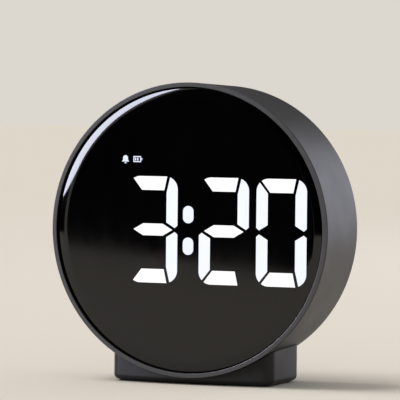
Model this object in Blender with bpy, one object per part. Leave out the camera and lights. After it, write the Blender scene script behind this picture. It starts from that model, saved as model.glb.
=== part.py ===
"""Round desk alarm clock: a tapered drum on an oval foot, with a four-digit segment display.

The model is in metres with +Z up. The display looks along -Y, the drum's axis is parallel to Y, and the
origin is on the surface the clock stands on, below the middle of its depth. Sizes are driving values in
millimetres times MM. Pieces of the drum are parented to an empty on the drum's axis, so their own X and Z
are measured from that axis and their Y is the depth from the middle of the drum.
"""

import math

import bmesh
import bpy
from mathutils import Vector

MM = 0.001

# Clearances
FIT = 0.3 * MM  # between pieces that touch
SLIDING_FIT = 0.35 * MM  # around pieces that slide

# Drum
DRUM_FRONT_RADIUS = 65.0 * MM
DRUM_TAPER = 1.5 * MM  # off the radius, from the front edge to the rear edge
DRUM_DEPTH = 44.5 * MM
DRUM_LIFT = 3.1 * MM  # from the surface the clock stands on to the drum's lowest point
SHELL_WALL = 2.2 * MM

# Front ring and lens
RING_FACE_WIDTH = 1.9 * MM
RING_LIP_DEPTH = 1.1 * MM
RING_WEB = 0.8 * MM
RING_LEDGE_WIDTH = 2.6 * MM
RING_LEDGE_THICKNESS = 1.2 * MM
LENS_GAP = 0.6 * MM
LENS_THICKNESS = 1.8 * MM
LENS_EDGE_DROP = 0.8 * MM
LENS_EDGE_WIDTH = 2.4 * MM
GASKET_THICKNESS = 0.6 * MM

# Display stack, from the lens to the board
MASK_THICKNESS = 0.8 * MM
DIFFUSER_THICKNESS = 0.5 * MM
REFLECTOR_DEPTH = 7.0 * MM
BOARD_THICKNESS = 1.6 * MM
PACKAGE_CORNER = 0.3 * MM  # of chips and sockets
FLANGE_THICKNESS = 1.5 * MM
FLANGE_WIDTH = 12.5 * MM
DISPLAY_BOARD_MARGIN = 4.8 * MM  # from the board's edge to the shell's front
DISPLAY_SCREW_INSET = 3.4 * MM  # from the flange's inner edge
DISPLAY_SCREW_ANGLE = 54.1  # degrees above the horizontal
DRIVER_CHIP = (18.0 * MM, 7.5 * MM, 2.3 * MM)  # width, height, thickness
DRIVER_CHIP_PLACE = (-22.0 * MM, 26.0 * MM)

# Digits: seven segments each, two dots between the hours and the minutes, two small signs above
DIGIT_WIDTH = 23.9 * MM
DIGIT_HEIGHT = 47.0 * MM
BAR_WIDTH = 5.8 * MM
CAP_WIDTH = 6.2 * MM
BAR_GAP = 1.1 * MM
DIGIT_CORNER_RADIUS = 5.7 * MM
DIGIT_GAP = 3.15 * MM
DOT_TO_DIGIT = 2.2 * MM
DOT_WIDTH = 5.4 * MM
DOT_HEIGHT = 8.0 * MM
DOT_Z = 6.95 * MM
SIGN_SIZE = 4.4 * MM
SIGN_RISE = 7.4 * MM  # from the top of the digits to the middle of the signs
SIGN_XS = (-30.2 * MM, -24.4 * MM)
WINDOW_MARGIN = 4.5 * MM  # of the reflector above and below the digits

# Rear cover
COVER_THICKNESS = 2.2 * MM
COVER_RECESS = 1.5 * MM
COVER_SCREW_INSET = 7.3 * MM  # from the cover's edge
COVER_SCREW_ANGLE = 26.6  # degrees above the horizontal
COVER_BOSS_START = 3.6 * MM  # behind the display board
COVER_RIB_WIDTH = 2.0 * MM
COUNTERBORE_DEPTH = 1.0 * MM
GRILLE_HOLE_RADIUS = 0.9 * MM
GRILLE_PITCH = 4.2 * MM
GRILLE_RINGS = 2

# Main board, hung on posts of the rear cover
MAIN_BOARD_WIDTH = 74.0 * MM
MAIN_BOARD_HEIGHT = 36.0 * MM
MAIN_BOARD_Z = 20.0 * MM
MAIN_BOARD_STANDOFF = 8.1 * MM
POST_INSET = 4.0 * MM
POST_RADIUS = 2.5 * MM
CONTROLLER_CHIP = (7.0 * MM, 7.0 * MM, 1.4 * MM)
CONTROLLER_CHIP_PLACE = (16.0 * MM, 24.0 * MM)
CRYSTAL_CAN = (8.0 * MM, 3.2 * MM, 2.6 * MM)
CRYSTAL_PLACE = (16.0 * MM, 15.0 * MM)

# Buttons on the rear cover
BUTTON_NAMES = ("button_set", "button_down", "button_up", "button_alarm")
BUTTON_PITCH = 15.0 * MM
BUTTON_Z = 25.0 * MM
BUTTON_RADIUS = 4.0 * MM
BUTTON_FLANGE = 1.2 * MM
BUTTON_FLANGE_THICKNESS = 1.2 * MM
BUTTON_PROUD = 1.0 * MM
BUTTON_EDGE = 0.5 * MM
BUTTON_TRAVEL = 0.5 * MM
SWITCH_SIDE = 6.0 * MM
SWITCH_HEIGHT = 3.5 * MM
PLUNGER_RADIUS = 1.7 * MM
PLUNGER_SEATED = 1.4 * MM

# USB-C socket
USB_WIDTH = 8.9 * MM
USB_HEIGHT = 3.2 * MM
USB_WALL = 0.35 * MM
USB_Z = 7.5 * MM
USB_BELOW_COVER = 0.4 * MM
USB_TONGUE_WIDTH = 6.7 * MM
USB_TONGUE_THICKNESS = 0.8 * MM
USB_TONGUE_BELOW_MOUTH = 0.7 * MM
USB_BLOCK_DEPTH = 3.0 * MM

# Speaker and battery
SPEAKER_RADIUS = 14.0 * MM
SPEAKER_DEPTH = 4.8 * MM
SPEAKER_Z = -26.0 * MM
SPEAKER_MAGNET_RADIUS = 7.0 * MM
SPEAKER_MAGNET_DEPTH = 3.5 * MM
SPEAKER_RIM = 1.5 * MM
SPEAKER_BOWL_DEPTH = 1.8 * MM
SPEAKER_BASKET_WALL = 1.2 * MM
CONE_THICKNESS = 0.5 * MM
COLLAR_WALL = 1.5 * MM
BATTERY_WIDTH = 56.0 * MM
BATTERY_HEIGHT = 36.0 * MM
BATTERY_THICKNESS = 6.0 * MM
BATTERY_Z = -14.0 * MM
BATTERY_EDGE = 1.2 * MM
TAPE_THICKNESS = 0.6 * MM
TAPE_MARGIN = 4.0 * MM

# Leads, ribbon and the sockets they plug into
WIRE_DIAMETER = 1.2 * MM
LEAD_SPACING = 2.6 * MM
LEAD_SOCKET = (7.0 * MM, 5.0 * MM, 4.0 * MM)
LEAD_SOCKET_X = -22.0 * MM
BATTERY_SOCKET_RISE = 8.0 * MM  # above the battery
SPEAKER_SOCKET_Z = 24.0 * MM
RIBBON_SOCKET = (17.0 * MM, 4.0 * MM, 2.2 * MM)
DISPLAY_RIBBON_Z = 16.0 * MM
MAIN_RIBBON_Z = 20.0 * MM
RIBBON_WIDTH = 12.0 * MM
RIBBON_THICKNESS = 0.3 * MM

# Screws
SCREW_RADIUS = 1.3 * MM
SCREW_HEAD_RADIUS = 2.5 * MM
SCREW_HEAD_HEIGHT = 1.4 * MM
SCREW_GRIP = 5.5 * MM
DISPLAY_SCREW_GRIP = 4.0 * MM
COVER_SCREW_GRIP = 8.0 * MM
BOSS_RADIUS = 3.2 * MM

# Foot
FOOT_LENGTH = 76.4 * MM
FOOT_FRONT_SETBACK = 2.5 * MM
FOOT_REAR_SETBACK = 0.8 * MM
FOOT_BOW = 3.2 * MM
FOOT_CORNER_RADIUS = 5.0 * MM
FOOT_SHOULDER = 6.0 * MM  # left above the drum's lowest line at the ends, before the seat is cut
FOOT_SCREW_X = 14.0 * MM
FOOT_BOSS_TOP = 15.0 * MM
FOOT_BOSS_FLOOR = 1.5 * MM  # left above the screw's tip
PAD_THICKNESS = 0.9 * MM
PAD_INSET = 2.6 * MM
PAD_PROUD = 0.6 * MM
BALLAST_START_X = 22.0 * MM
BALLAST_END_WALL = 5.2 * MM
BALLAST_DEPTH = 26.0 * MM
BALLAST_ROOF = 2.2 * MM

# Smoothness of round shapes
TURNED_SIDES = 64
SMALL_SIDES = 16
CORNER_STEPS = 3
FOOT_BOW_STEPS = 6

# Sizes and depths that follow from those above (front is -Y)
DRUM_REAR_RADIUS = DRUM_FRONT_RADIUS - DRUM_TAPER
DRUM_AXIS_HEIGHT = DRUM_FRONT_RADIUS + DRUM_LIFT
FRONT_Y = -DRUM_DEPTH / 2
REAR_Y = DRUM_DEPTH / 2
RING_INNER_RADIUS = DRUM_FRONT_RADIUS - RING_FACE_WIDTH
RING_WEB_RADIUS = RING_INNER_RADIUS + RING_WEB
RING_LEDGE_RADIUS = RING_INNER_RADIUS - RING_LEDGE_WIDTH
LENS_RADIUS = RING_INNER_RADIUS - LENS_GAP
LENS_BACK_Y = FRONT_Y + LENS_THICKNESS
GASKET_Y = LENS_BACK_Y + FIT
LEDGE_Y = GASKET_Y + GASKET_THICKNESS + FIT
RING_BACK_Y = LEDGE_Y + RING_LEDGE_THICKNESS
SHELL_FRONT_Y = FRONT_Y + RING_LIP_DEPTH + FIT
FLANGE_Y = RING_BACK_Y + FIT
FLANGE_BACK_Y = FLANGE_Y + FLANGE_THICKNESS
FLANGE_INNER_RADIUS = DRUM_FRONT_RADIUS - SHELL_WALL - FLANGE_WIDTH
DISPLAY_BOARD_RADIUS = DRUM_FRONT_RADIUS - SHELL_WALL - DISPLAY_BOARD_MARGIN
MASK_Y = LENS_BACK_Y + FIT
DIFFUSER_Y = MASK_Y + MASK_THICKNESS + FIT
REFLECTOR_Y = DIFFUSER_Y + DIFFUSER_THICKNESS + FIT
REFLECTOR_BACK_Y = REFLECTOR_Y + REFLECTOR_DEPTH
DISPLAY_BOARD_Y = REFLECTOR_BACK_Y + FIT
DISPLAY_BOARD_BACK_Y = DISPLAY_BOARD_Y + BOARD_THICKNESS
DISPLAY_RADIUS = RING_LEDGE_RADIUS - SLIDING_FIT
TAPE_Y = DISPLAY_BOARD_BACK_Y + FIT
BATTERY_Y = TAPE_Y + TAPE_THICKNESS + FIT
COVER_Y = REAR_Y - COVER_RECESS
COVER_INNER_Y = COVER_Y - COVER_THICKNESS
COVER_RADIUS = DRUM_REAR_RADIUS - SHELL_WALL - FIT
MAIN_BOARD_BACK_Y = COVER_INNER_Y - MAIN_BOARD_STANDOFF - FIT
MAIN_BOARD_Y = MAIN_BOARD_BACK_Y - BOARD_THICKNESS
MAIN_FRONT_PARTS_Y = MAIN_BOARD_Y - FIT
MAIN_REAR_PARTS_Y = MAIN_BOARD_BACK_Y + FIT
DISPLAY_REAR_PARTS_Y = DISPLAY_BOARD_BACK_Y + FIT
SCREW_HOLE_RADIUS = SCREW_RADIUS + FIT
SWITCH_TOP_Y = MAIN_REAR_PARTS_Y + SWITCH_HEIGHT
BUTTON_XS = tuple((i - (len(BUTTON_NAMES) - 1) / 2) * BUTTON_PITCH for i in range(len(BUTTON_NAMES)))
INNER_DIGIT_X = DOT_WIDTH / 2 + DOT_TO_DIGIT + DIGIT_WIDTH / 2
OUTER_DIGIT_X = INNER_DIGIT_X + DIGIT_WIDTH + DIGIT_GAP
SIGN_Z = DIGIT_HEIGHT / 2 + SIGN_RISE
WINDOW_HALF_HEIGHT = DIGIT_HEIGHT / 2 + WINDOW_MARGIN
SIGN_WINDOW = (SIGN_XS[0] - SIGN_SIZE, SIGN_XS[1] + SIGN_SIZE, SIGN_Z + SIGN_SIZE)
FOOT_FRONT_Y = FRONT_Y + FOOT_FRONT_SETBACK
FOOT_REAR_Y = REAR_Y - FOOT_REAR_SETBACK
FOOT_MIDDLE_Y = (FOOT_FRONT_Y + FOOT_REAR_Y) / 2
BALLAST_LENGTH = FOOT_LENGTH / 2 - BALLAST_END_WALL - BALLAST_START_X
BATTERY_TOP_Z = BATTERY_Z + BATTERY_HEIGHT / 2
BATTERY_SOCKET_Z = BATTERY_TOP_Z + BATTERY_SOCKET_RISE
PAD_ROOF_Z = PAD_THICKNESS + FIT


def drum_radius(y):
    """Outer radius of the drum at a depth, from the front edge of the ring to the rear edge."""
    along = (y - FRONT_Y) / DRUM_DEPTH
    return DRUM_FRONT_RADIUS + (DRUM_REAR_RADIUS - DRUM_FRONT_RADIUS) * along


def clear_scene():
    for item in list(bpy.data.objects):
        bpy.data.objects.remove(item, do_unlink=True)


# ---------------------------------------------------------------- materials

FINISHES = {
    # name: (sRGB colour, roughness, metallic)
    "graphite_shell": ("3a3a40", 0.45, 0.0),
    "grey_ring": ("4c4c52", 0.35, 0.2),
    "smoked_lens": ("050506", 0.05, 0.0),
    "black_foam": ("121212", 0.95, 0.0),
    "black_mask": ("0b0b0c", 0.7, 0.0),
    "milky_film": ("e8eaee", 0.5, 0.0),
    "white_reflector": ("f0f0ec", 0.6, 0.0),
    "green_board": ("1d4a32", 0.5, 0.0),
    "black_package": ("17181a", 0.5, 0.0),
    "cream_connector": ("d8d2be", 0.5, 0.0),
    "rear_plastic": ("2c2c30", 0.55, 0.0),
    "button_plastic": ("3c3c42", 0.5, 0.0),
    "steel": ("b4b6b8", 0.3, 1.0),
    "black_screw": ("26262a", 0.35, 1.0),
    "battery_wrap": ("9aa3ad", 0.35, 0.4),
    "red_wire": ("a81c18", 0.5, 0.0),
    "black_wire": ("101010", 0.5, 0.0),
    "white_ribbon": ("e2e0d8", 0.5, 0.0),
    "paper_cone": ("1c1c1c", 0.9, 0.0),
    "foot_rubber": ("161617", 0.9, 0.0),
}


def linear(hex_colour):
    """Linear RGBA of a six-digit sRGB colour."""
    parts = [int(hex_colour[i : i + 2], 16) / 255 for i in (0, 2, 4)]
    return [p / 12.92 if p <= 0.04045 else ((p + 0.055) / 1.055) ** 2.4 for p in parts] + [1.0]


def finish(name):
    """The Principled material of one finish, made on first use."""
    found = bpy.data.materials.get(name)
    if found:
        return found
    colour, roughness, metallic = FINISHES[name]
    material = bpy.data.materials.new(name)
    material.use_nodes = True
    shader = material.node_tree.nodes["Principled BSDF"]
    shader.inputs["Base Color"].default_value = linear(colour)
    shader.inputs["Roughness"].default_value = roughness
    shader.inputs["Metallic"].default_value = metallic
    material.diffuse_color = linear(colour)
    return material


# ---------------------------------------------------------------- shape helpers


def add_object(name, bm, finish_name, parent, location=(0, 0, 0)):
    """Turns a bmesh into an object with outward faces, smooth where it is round."""
    bmesh.ops.recalc_face_normals(bm, faces=bm.faces)
    mesh = bpy.data.meshes.new(name)
    bm.to_mesh(mesh)
    bm.free()
    mesh.shade_smooth()
    mesh.set_sharp_from_angle(angle=math.radians(30))
    mesh.materials.append(finish(finish_name))
    made = bpy.data.objects.new(name, mesh)
    bpy.context.scene.collection.objects.link(made)
    made.parent = parent
    made.location = location
    return made


def spin_profile(bm, profile, sides=TURNED_SIDES, centre=(0, 0, 0)):
    """Adds a solid turned about the Y axis through centre, from a closed profile of (radius, y) points."""
    centre = Vector(centre)
    verts = [bm.verts.new(centre + Vector((radius, y, 0))) for radius, y in profile]
    edges = [bm.edges.new((verts[i - 1], verts[i])) for i in range(len(verts))]
    on_axis = [e for e in edges if all(abs((v.co - centre).x) < 1e-9 for v in e.verts)]
    bmesh.ops.delete(bm, geom=on_axis, context="EDGES_FACES")
    verts = [v for v in verts if v.is_valid]
    edges = [e for e in edges if e.is_valid]
    bmesh.ops.spin(
        bm,
        geom=verts + edges,
        cent=centre,
        axis=(0, 1, 0),
        angle=math.tau,
        steps=sides,
        use_merge=True,
        use_duplicate=False,
    )
    bmesh.ops.remove_doubles(bm, verts=bm.verts, dist=1e-7)


def turned(name, profile, finish_name, parent, location=(0, 0, 0), sides=TURNED_SIDES):
    bm = bmesh.new()
    spin_profile(bm, profile, sides)
    return add_object(name, bm, finish_name, parent, location)


def disc_profile(radius, start, end):
    return [(0, start), (radius, start), (radius, end), (0, end)]


def tube_profile(inner, outer, start, end):
    return [(inner, start), (outer, start), (outer, end), (inner, end)]


def boss_profile(radius, mouth, root, hole_depth):
    """A post from root to mouth with a blind screw hole in its mouth."""
    floor = mouth + math.copysign(hole_depth, root - mouth)
    hole = [(0, floor), (SCREW_HOLE_RADIUS, floor), (SCREW_HOLE_RADIUS, mouth)]
    return hole + [(radius, mouth), (radius, root), (0, root)]


def extrude_outline(bm, outline, start, end, holes=(), upright=False):
    """Adds a plate with holes. Its outlines are (x, z) points swept along Y, or (x, y) along Z if upright."""
    sweep = Vector((0, 0, end - start)) if upright else Vector((0, end - start, 0))
    new_edges = []
    for loop in (outline, *holes):
        if upright:
            verts = [bm.verts.new((u, v, start)) for u, v in loop]
        else:
            verts = [bm.verts.new((u, start, v)) for u, v in loop]
        new_edges += [bm.edges.new((verts[i - 1], verts[i])) for i in range(len(verts))]
    filled = bmesh.ops.triangle_fill(bm, use_beauty=True, edges=new_edges)
    faces = [g for g in filled["geom"] if isinstance(g, bmesh.types.BMFace)]
    swept = bmesh.ops.extrude_face_region(bm, geom=faces)
    moved = [g for g in swept["geom"] if isinstance(g, bmesh.types.BMVert)]
    bmesh.ops.translate(bm, vec=sweep, verts=moved)


def plate(name, outline, start, end, finish_name, parent, holes=(), location=(0, 0, 0), upright=False):
    bm = bmesh.new()
    extrude_outline(bm, outline, start, end, holes, upright)
    return add_object(name, bm, finish_name, parent, location)


def arc(centre, radius, start, end, steps):
    """Points on an arc, angles in degrees counted from +X towards the second coordinate."""
    points = []
    for i in range(steps + 1):
        angle = math.radians(start + (end - start) * i / steps)
        points.append((centre[0] + radius * math.cos(angle), centre[1] + radius * math.sin(angle)))
    return points


def circle(radius, centre=(0, 0), sides=SMALL_SIDES):
    return arc(centre, radius, 0, 360, sides)[:-1]


def rounded_rectangle(width, height, radius, centre=(0, 0), steps=CORNER_STEPS):
    x = width / 2 - radius
    z = height / 2 - radius
    corners = ((x, z, 0), (-x, z, 90), (-x, -z, 180), (x, -z, 270))
    points = []
    for cx, cz, start in corners:
        points += arc((centre[0] + cx, centre[1] + cz), radius, start, start + 90, steps)
    return points


def clipped_disc(radius, half_height):
    """A disc cut off flat above and below the axis."""
    angle = math.degrees(math.asin(half_height / radius))
    steps = TURNED_SIDES // 4 + 1
    return arc((0, 0), radius, -angle, angle, steps) + arc((0, 0), radius, 180 - angle, 180 + angle, steps)


def moved(points, x, z):
    return [(px + x, pz + z) for px, pz in points]


def cutter(name, bm, parent, location=(0, 0, 0)):
    """A guide object for Booleans, which isn't part of the clock."""
    made = add_object(name, bm, "black_mask", parent, location)
    made.hide_render = True
    made.display_type = "WIRE"
    return made


def boolean(target, other, operation):
    modifier = target.modifiers.new(other.name, "BOOLEAN")
    modifier.operation = operation
    modifier.solver = "EXACT"
    modifier.object = other


def mirrored_spots(x, z):
    return [(x * sx, z * sz) for sx in (-1, 1) for sz in (-1, 1)]


def turned_spots(distance, angle):
    """Four spots at a distance from the axis, an angle in degrees above and below the horizontal."""
    turn = math.radians(angle)
    return mirrored_spots(distance * math.cos(turn), distance * math.sin(turn))


def display_screw_spots():
    return turned_spots(FLANGE_INNER_RADIUS + DISPLAY_SCREW_INSET, DISPLAY_SCREW_ANGLE)


def cover_screw_spots():
    return turned_spots(COVER_RADIUS - COVER_SCREW_INSET, COVER_SCREW_ANGLE)


def display_board_part(name, size, place, finish_name, parent):
    """A part of (width, height, thickness) at an (x, z) place on the rear of the display board."""
    width, height, thickness = size
    outline = rounded_rectangle(width, height, PACKAGE_CORNER, place, 1)
    plate(name, outline, DISPLAY_REAR_PARTS_Y, DISPLAY_REAR_PARTS_Y + thickness, finish_name, parent)


def main_board_part(name, size, place, finish_name, parent, corner=PACKAGE_CORNER):
    """A part of (width, height, thickness) at an (x, z) place on the front of the main board."""
    width, height, thickness = size
    outline = rounded_rectangle(width, height, corner, place, 1)
    plate(name, outline, MAIN_FRONT_PARTS_Y - thickness, MAIN_FRONT_PARTS_Y, finish_name, parent)


def screw(name, parent, location, length, points_to):
    """A pan-head screw whose head sits on Y 0 and whose shank runs along points_to, a unit vector."""
    profile = [
        (0, -SCREW_HEAD_HEIGHT),
        (SCREW_HEAD_RADIUS * 0.7, -SCREW_HEAD_HEIGHT),
        (SCREW_HEAD_RADIUS, -SCREW_HEAD_HEIGHT * 0.6),
        (SCREW_HEAD_RADIUS, 0),
        (SCREW_RADIUS, 0),
        (SCREW_RADIUS, length - SCREW_RADIUS),
        (0, length),
    ]
    bm = bmesh.new()
    spin_profile(bm, profile, SMALL_SIDES)
    turn = Vector((0, 1, 0)).rotation_difference(Vector(points_to)).to_matrix().to_4x4()
    bmesh.ops.transform(bm, matrix=turn, verts=bm.verts)
    return add_object(name, bm, "black_screw", parent, location)


def smooth_route(points, spacing):
    """Evenly spaced points on a Catmull-Rom curve through the route's own points."""
    points = [Vector(p) for p in points]
    ends = [points[0] * 2 - points[1]] + points + [points[-1] * 2 - points[-2]]
    dense = []
    for i in range(1, len(ends) - 2):
        before, here, there, after = ends[i - 1 : i + 3]
        for step in range(20):
            t = step / 20
            dense.append(
                0.5
                * (
                    here * 2
                    + (there - before) * t
                    + (before * 2 - here * 5 + there * 4 - after) * t**2
                    + (here * 3 - before - there * 3 + after) * t**3
                )
            )
    dense.append(points[-1])
    total = sum((b - a).length for a, b in zip(dense, dense[1:]))
    count = max(2, round(total / spacing))
    route = [dense[0]]
    walked = 0
    for a, b in zip(dense, dense[1:]):
        walked += (b - a).length
        if len(route) < count and walked >= len(route) * total / count:
            route.append(b)
    route[-1] = dense[-1]
    return route


def wire(name, points, finish_name, parent):
    """An insulated lead along a route."""
    curve = bpy.data.curves.new(name, "CURVE")
    curve.dimensions = "3D"
    curve.bevel_depth = WIRE_DIAMETER / 2
    curve.bevel_resolution = 2
    curve.use_fill_caps = True
    spline = curve.splines.new("POLY")
    route = smooth_route(points, WIRE_DIAMETER * 2.5)
    spline.points.add(len(route) - 1)
    for point, place in zip(spline.points, route):
        point.co = (*place, 1)
    curve.materials.append(finish(finish_name))
    made = bpy.data.objects.new(name, curve)
    bpy.context.scene.collection.objects.link(made)
    made.parent = parent
    return made


# ---------------------------------------------------------------- digit outlines


def segment_outlines():
    """The seven bars of one digit about its centre, named as usual from a (top) round to g (middle)."""
    half_w = DIGIT_WIDTH / 2
    half_h = DIGIT_HEIGHT / 2
    inner_x = half_w - BAR_WIDTH
    inner_z = half_h - CAP_WIDTH
    bevel = BAR_GAP * 0.75
    corner = (half_w - DIGIT_CORNER_RADIUS, half_h - DIGIT_CORNER_RADIUS)
    tip_z = BAR_GAP * 0.6
    top = arc((-corner[0], corner[1]), DIGIT_CORNER_RADIUS, 118, 90, 2)
    top += [(corner[0] + BAR_GAP * 0.45, half_h), (inner_x - bevel, inner_z), (bevel - inner_x, inner_z)]
    right = arc(corner, DIGIT_CORNER_RADIUS, 73, 0, CORNER_STEPS)
    right += [
        (half_w, tip_z + bevel),
        (half_w - BAR_WIDTH * 0.25, tip_z),
        (inner_x, BAR_WIDTH / 2 + BAR_GAP * 0.4),
        (inner_x, inner_z - bevel),
    ]
    left = arc((-corner[0], corner[1]), DIGIT_CORNER_RADIUS, 180, 130, CORNER_STEPS)
    left += [
        (-inner_x, inner_z - bevel * 0.3),
        (-inner_x, BAR_WIDTH / 2 + BAR_GAP * 0.4),
        (-half_w + BAR_WIDTH * 0.25, tip_z),
        (-half_w, tip_z + bevel),
    ]
    middle = [
        (-inner_x - BAR_WIDTH * 0.54, 0),
        (bevel * 1.6 - inner_x, BAR_WIDTH / 2),
        (inner_x - bevel * 1.6, BAR_WIDTH / 2),
        (inner_x + BAR_WIDTH * 0.54, 0),
        (inner_x - bevel * 1.6, -BAR_WIDTH / 2),
        (bevel * 1.6 - inner_x, -BAR_WIDTH / 2),
    ]

    def flipped(points):
        return [(x, -z) for x, z in points]

    return {
        "a": top,
        "b": right,
        "c": flipped(right),
        "d": flipped(top),
        "e": flipped(left),
        "f": left,
        "g": middle,
    }


def light_windows():
    """Every opening the light comes through: four digits, two dots and two signs."""
    windows = []
    for x in (-OUTER_DIGIT_X, -INNER_DIGIT_X, INNER_DIGIT_X, OUTER_DIGIT_X):
        windows += [moved(points, x, 0) for points in segment_outlines().values()]
    for z in (-DOT_Z, DOT_Z):
        windows.append(rounded_rectangle(DOT_WIDTH, DOT_HEIGHT, DOT_WIDTH * 0.45, (0, z), 2))
    for x in SIGN_XS:
        windows.append(rounded_rectangle(SIGN_SIZE, SIGN_SIZE, SIGN_SIZE * 0.15, (x, SIGN_Z), 1))
    return windows


# ---------------------------------------------------------------- drum front


def make_front_ring(axis):
    profile = [
        (RING_INNER_RADIUS, FRONT_Y),
        (DRUM_FRONT_RADIUS - 0.3 * MM, FRONT_Y),
        (DRUM_FRONT_RADIUS, FRONT_Y + 0.3 * MM),
        (DRUM_FRONT_RADIUS, FRONT_Y + RING_LIP_DEPTH),
        (RING_WEB_RADIUS, FRONT_Y + RING_LIP_DEPTH),
        (RING_WEB_RADIUS, RING_BACK_Y),
        (RING_LEDGE_RADIUS, RING_BACK_Y),
        (RING_LEDGE_RADIUS, LEDGE_Y),
        (RING_INNER_RADIUS, LEDGE_Y),
    ]
    turned("front_ring", profile, "grey_ring", axis)


def make_front_lens(axis):
    edge = []
    for step in range(CORNER_STEPS + 1):
        angle = math.radians(90 * step / CORNER_STEPS)
        radius = LENS_RADIUS - LENS_EDGE_WIDTH * (1 - math.sin(angle))
        edge.append((radius, FRONT_Y + LENS_EDGE_DROP * (1 - math.cos(angle))))
    profile = [(0, FRONT_Y), *edge, (LENS_RADIUS, LENS_BACK_Y), (0, LENS_BACK_Y)]
    turned("front_lens", profile, "smoked_lens", axis)


def make_lens_gasket(axis):
    inner = RING_LEDGE_RADIUS + FIT
    outer = LENS_RADIUS - FIT
    profile = tube_profile(inner, outer, GASKET_Y, GASKET_Y + GASKET_THICKNESS)
    turned("lens_gasket", profile, "black_foam", axis)


def make_segment_mask(axis):
    outline = circle(DISPLAY_RADIUS, sides=TURNED_SIDES)
    plate("segment_mask", outline, MASK_Y, MASK_Y + MASK_THICKNESS, "black_mask", axis, light_windows())


def make_diffuser(axis):
    profile = disc_profile(DISPLAY_RADIUS, DIFFUSER_Y, DIFFUSER_Y + DIFFUSER_THICKNESS)
    turned("diffuser_sheet", profile, "milky_film", axis)


def reflector_outline():
    """A clipped disc behind the digits with a tab behind the two signs."""
    left, right, top = SIGN_WINDOW
    disc = clipped_disc(DISPLAY_RADIUS, WINDOW_HALF_HEIGHT)
    half = len(disc) // 2
    tab = [(right, WINDOW_HALF_HEIGHT), (right, top), (left, top), (left, WINDOW_HALF_HEIGHT)]
    return disc[:half] + tab + disc[half:]


def make_reflector(axis):
    outline = reflector_outline()
    plate("led_reflector", outline, REFLECTOR_Y, REFLECTOR_BACK_Y, "white_reflector", axis, light_windows())


def make_display_board(axis):
    holes = [circle(SCREW_HOLE_RADIUS, spot) for spot in display_screw_spots()]
    outline = circle(DISPLAY_BOARD_RADIUS, sides=TURNED_SIDES)
    plate("display_board", outline, DISPLAY_BOARD_Y, DISPLAY_BOARD_BACK_Y, "green_board", axis, holes)
    for number, (x, z) in enumerate(display_screw_spots(), 1):
        place = (x, DISPLAY_BOARD_BACK_Y + FIT, z)
        screw(f"display_screw_{number}", axis, place, BOARD_THICKNESS + DISPLAY_SCREW_GRIP, (0, -1, 0))
    display_board_part("led_driver_chip", DRIVER_CHIP, DRIVER_CHIP_PLACE, "black_package", axis)


# ---------------------------------------------------------------- shell


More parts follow.
